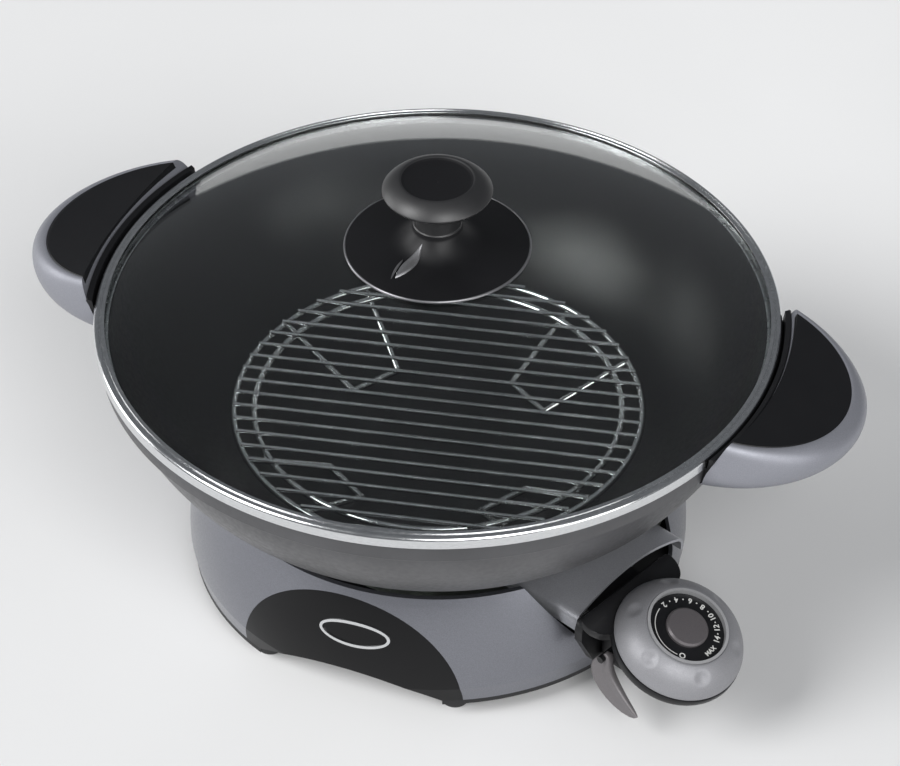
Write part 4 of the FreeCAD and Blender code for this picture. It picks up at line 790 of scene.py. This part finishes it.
def handle_bracket():
    """A curved strip against the pan's rim, with a tab under the handle."""
    build = bmesh.new()
    strip = []
    steps = 48
    for step in range(steps + 1):
        angle = math.radians(-BRACKET_SPREAD + 2 * BRACKET_SPREAD * step / steps)
        strip.append([(r * math.cos(angle), r * math.sin(angle), z) for r, z in BRACKET_SECTION])
    add_skin(build, strip)
    low, high = TAB_LEVELS
    tab = []
    for out, half in TAB_OUTLINE:
        tab.append([(out, -half, low), (out, half, low), (out, half, high), (out, -half, high)])
    add_skin(build, tab)
    return closed_mesh(build)


def beyond_pan(rings):
    """A piece of the handle without what lies in the space of the pan and the lid."""
    return cut_by(skinned(rings), lathed(PAN_SPACE, 320))


def make_handles(skins):
    """Both handles: a silver grip, its black cover and the bracket that holds them."""
    for side, turn in (("right", 0), ("left", math.pi)):
        about = Matrix.Rotation(turn, 4, "Z")
        parts = (
            ("handle_grip", beyond_pan(handle_shell()), "handle_shell", "handle_silver"),
            ("handle_lid", beyond_pan(handle_cover()), "handle_cover", "handle_black"),
            ("pan_bracket", handle_bracket(), "handle_bracket", "handle_black"),
        )
        for name, mesh, node, skin in parts:
            mesh.transform(about)
            piece(f"{name}_{side}", mesh, "pan", skins[skin], [f"{node}_{side}"], 40)


# ---------------------------------------------------------------- control

# The dial's dome in the dial's own frame, and the dimples pressed into it: their spacing and first turn in
# degrees, the direction of their middle from the dome's centre, and its distance from the dial's axis.
DOME_CENTRE = (15.71, -9.21)
DOME_RADIUS = 20
DIMPLE_PITCH = 60
DIMPLE_TURN = 31
DIMPLE_MIDDLE = (0.6437, 0.7653)
DIMPLE_DISTANCE = 28.6
DIMPLE_RADIUS = 5.4
DIMPLE_DEPTH = 0.95
DOME_START = 22.5
DOME_FOOT = -3.5
DOME_TOLERANCE = 0.3
DIAL_SECTION = (
    (33, -6), (35, -6), (35, -4), (23, 9.4, 20, 34), (22.1, 9.4), (22.1, 5), (3.05, 5), (3.05, 3), (21, 3),
    (33, -6, -20, 12),
)


def dial_frame():
    """From the dial's own frame, in metres, to the part's frame."""
    about = Matrix.Rotation(math.radians(PROBE_ANGLE), 4, "Z")
    move = Matrix.Translation(Vector(DIAL_PLACE) * MM)
    return about @ move @ Matrix.Rotation(math.radians(DIAL_TILT), 4, "Y")


def dented(radius, height, angle):
    """Presses six soft finger dimples into the dial's dome."""
    if radius < DOME_START or height < DOME_FOOT:
        return radius, height
    centre = Vector(DOME_CENTRE)
    out = Vector((radius, height)) - centre
    if abs(out.length - DOME_RADIUS) > DOME_TOLERANCE:
        return radius, height
    turn = (math.degrees(angle) - DIMPLE_TURN + DIMPLE_PITCH / 2) % DIMPLE_PITCH - DIMPLE_PITCH / 2
    along = out.normalized().angle(Vector(DIMPLE_MIDDLE)) * DOME_RADIUS
    around = math.radians(turn) * DIMPLE_DISTANCE
    share = (along ** 2 + around ** 2) / DIMPLE_RADIUS ** 2
    if share >= 1:
        return radius, height
    moved = centre + out.normalized() * (DOME_RADIUS - DIMPLE_DEPTH * (1 - share) ** 2)
    return moved.x, moved.y


def make_dial(skins):
    """The dial's dimpled dome and its marks."""
    mesh = lathed(softened(path(*DIAL_SECTION), 0.7, 40), 288, dented)
    mesh.transform(dial_frame())
    piece("dial_dome", mesh, "dial", skins["dial_silver"], ["dial_skirt"], 50)
    make_marks(skins)


# The control's flange in the dial's frame, and the block under it in the control's frame.
FLANGE_SIDE = ((-40.2, -PROBE_HALF_WIDTH), (-33, -PROBE_HALF_WIDTH), (-27.5, -32.4), (-24.0, -26.2))
FLANGE_RINGS = ((0.8, -6.7), (0.25, -6.9), (0.0, -7.4), (0.0, -10.2), (0.6, -11.6), (2.0, -12.6))
FLANGE_MIDDLE = -9
NOSE_RADIUS = 35.4
NOSE_TURN = 132
NOSE_STEP = 4
BLOCK_BACK = 146
BLOCK_HALF = 20.5
BLOCK_BOTTOM = 36.6
BASE_MIDDLE = 172
BASE_REACH = 30
BASE_RINGS = ((0.8, 34.0), (0.2, 34.3), (0.0, 34.9), (0.0, 36.5))


def make_control_body(skins):
    """The control's body: a tilted plate that widens behind the dial, on a narrower block with a base."""
    turns = [math.radians(turn) for turn in range(-NOSE_TURN, NOSE_TURN + 1, NOSE_STEP)]
    nose = [(NOSE_RADIUS * math.cos(turn), NOSE_RADIUS * math.sin(turn)) for turn in turns]
    other_side = [(x, -y) for x, y in reversed(FLANGE_SIDE)]
    outline = softened(list(FLANGE_SIDE) + nose + other_side, 4, 20)
    build = bmesh.new()
    rings = []
    for inset, height in FLANGE_RINGS:
        share = 1 - inset / NOSE_RADIUS
        rings.append([dial_frame() @ (Vector((x * share, y * share, height)) * MM) / MM for x, y in outline])
    add_skin(build, rings)

    front, middle, level = DIAL_PLACE
    low, high = middle - BLOCK_HALF, middle + BLOCK_HALF
    plan = softened(path(
        (BLOCK_BACK, low), (front, low), (front + BLOCK_HALF, middle, BLOCK_HALF, 20),
        (front, high, BLOCK_HALF, 20), (BLOCK_BACK, high),
    ), 3, 20)
    turn = Matrix.Rotation(math.radians(PROBE_ANGLE), 3, "Z")
    tilt = math.radians(DIAL_TILT)
    block = [[], []]
    for u, v in plan:
        under_flange = level + (FLANGE_MIDDLE - (u - front) * math.sin(tilt)) / math.cos(tilt)
        block[0].append(turn @ Vector((u, v, BLOCK_BOTTOM)))
        block[1].append(turn @ Vector((u, v, under_flange)))
    add_skin(build, block)
    skin = skins["control_black"]
    piece("control_body", closed_mesh(build), "probe", skin, ["probe_housing"], 30)

    base = []
    for inset, height in BASE_RINGS:
        share = 1 - inset / BASE_REACH
        base.append([
            turn @ Vector((BASE_MIDDLE + (u - BASE_MIDDLE) * share, middle + (v - middle) * share, height))
            for u, v in plan
        ])
    piece("control_base", skinned(base), "probe", skin, ["probe_bottom_cover"], 30)


# The lever's blade: at each station its lower and upper edge in the control's frame, and its two sides.
LEVER_STATIONS = (
    ((155.2, 48.8), (158.4, 51.6), -39.8, -44.0), ((152.4, 45.2), (160.6, 50.6), -38.0, -44.6),
    ((149.8, 41.0), (161.2, 46.6), -37.4, -44.8), ((149.0, 37.0), (161.4, 42.6), -37.4, -44.8),
    ((149.6, 32.6), (162.6, 39.0), -37.4, -44.8), ((151.6, 28.2), (164.8, 35.6), -37.6, -44.7),
    ((155.0, 24.2), (167.8, 32.2), -38.0, -44.5), ((159.6, 20.8), (171.0, 29.0), -38.5, -44.3),
    ((165.0, 18.4), (174.4, 26.0), -39.1, -44.0), ((170.6, 17.2), (177.6, 23.4), -39.8, -43.6),
    ((175.6, 17.2), (180.0, 21.2), -40.5, -43.1), ((178.8, 18.0), (180.9, 19.9), -41.1, -42.5),
)
LEVER_SQUARENESS = (0.6, 0.7)
LEVER_HOLLOW = 0.28


def make_lever(skins):
    """The release lever: a slim curved blade with a hollowed side."""
    steps = 32
    rings = []
    for low, high, near, far in LEVER_STATIONS:
        ring = []
        for step in range(steps):
            turn = 2 * math.pi * step / steps
            side = math.copysign(abs(math.cos(turn)) ** LEVER_SQUARENESS[0], math.cos(turn))
            rise = math.copysign(abs(math.sin(turn)) ** LEVER_SQUARENESS[1], math.sin(turn))
            share = (1 + rise) / 2
            hollow = LEVER_HOLLOW * (near - far) * (1 - rise ** 2) * max(-side, 0)
            v = (near + far) / 2 + side * (near - far) / 2 + hollow
            ring.append((low[0] + (high[0] - low[0]) * share, v, low[1] + (high[1] - low[1]) * share))
        rings.append(ring)
    mesh = skinned(rings)
    mesh.transform(Matrix.Rotation(math.radians(PROBE_ANGLE), 4, "Z"))
    piece("release_blade", mesh, "lever", skins["lever_grey"], ["release_lever"], 50)


# The temperature numbers and their angles about the dial's shaft.
DIAL_NUMBERS = (
    ("O", -54.8), ("2", 179.3), ("4", 152.7), ("6", 126.5), ("8", 102.0), ("10", 77.4), ("12", 55.1),
    ("14", 31.7), ("MAX", 3.3),
)
MARK_RADIUS = 16.9
MARK_TOP = 7.06
MARK_BOTTOM = 6.99
NUMBER_SIZE = 4.3
WORD_SIZE = 3.4
INK_DEPTH = 0.05
INK_SPREAD = 0.09
DOT_RADII = (16.6, 17.3)
DOT_HALF = 1.2
SWEEP_RADII = (16.8, 17.25)
SWEEP = (192, 296)


def make_marks(skins):
    """Printed numbers, dots and a sweep line, as one thin layer on the dial's face."""
    build = bmesh.new()
    for text, angle in DIAL_NUMBERS:
        add_text(build, text, angle)
    between = [(DIAL_NUMBERS[i][1] + DIAL_NUMBERS[i + 1][1]) / 2 for i in range(1, len(DIAL_NUMBERS) - 1)]
    for angle in between[:-1]:
        add_band(build, angle - DOT_HALF, angle + DOT_HALF, *DOT_RADII, 4)
    add_band(build, *SWEEP, *SWEEP_RADII, 60)
    mesh = closed_mesh(build)
    mesh.transform(dial_frame())
    piece("dial_marks", mesh, "dial", skins["dial_ink"])


def add_text(build, text, angle):
    """One mark of the dial, upright on its ring at an angle."""
    curve = bpy.data.curves.new("mark", "FONT")
    curve.body = text
    curve.size = WORD_SIZE if len(text) > 2 else NUMBER_SIZE
    curve.align_x = "CENTER"
    curve.align_y = "CENTER"
    curve.extrude = INK_DEPTH
    curve.offset = INK_SPREAD
    item = bpy.data.objects.new("mark", curve)
    bpy.context.scene.collection.objects.link(item)
    bpy.context.view_layer.update()
    mesh = bpy.data.meshes.new_from_object(item.evaluated_get(bpy.context.evaluated_depsgraph_get()))
    bpy.data.objects.remove(item)
    turn = Matrix.Rotation(math.radians(angle), 4, "Z")
    place = Matrix.Translation((MARK_RADIUS, 0, MARK_TOP - INK_DEPTH))
    upright = Matrix.Rotation(math.radians(90), 4, "Z")
    mesh.transform(Matrix.Scale(MM, 4) @ turn @ place @ upright)
    build.from_mesh(mesh)
    bpy.data.meshes.remove(mesh)


def add_band(build, start, end, inner, outer, steps):
    """A thin flat arc on the dial's face."""
    rings = []
    for step in range(steps + 1):
        angle = math.radians(start + (end - start) * step / steps)
        ring = []
        for radius, height in (
            (inner, MARK_BOTTOM), (outer, MARK_BOTTOM), (outer, MARK_TOP), (inner, MARK_TOP),
        ):
            spot = (radius * math.cos(angle) * MM, radius * math.sin(angle) * MM, height * MM)
            ring.append(build.verts.new(spot))
        rings.append(ring)
    for ring, other in zip(rings, rings[1:]):
        for place in range(4):
            after = (place + 1) % 4
            build.faces.new((ring[place], ring[after], other[after], other[place]))
    build.faces.new(rings[0])
    build.faces.new(rings[-1])


# ---------------------------------------------------------------- the scene

make_camera()
make_studio()
skins = make_materials()
dress_nodes(skins)
make_bowl(skins)
make_lid(skins)
make_handles(skins)
make_dial(skins)
make_control_body(skins)
make_lever(skins)

bpy.context.scene.view_settings.view_transform = "Standard"
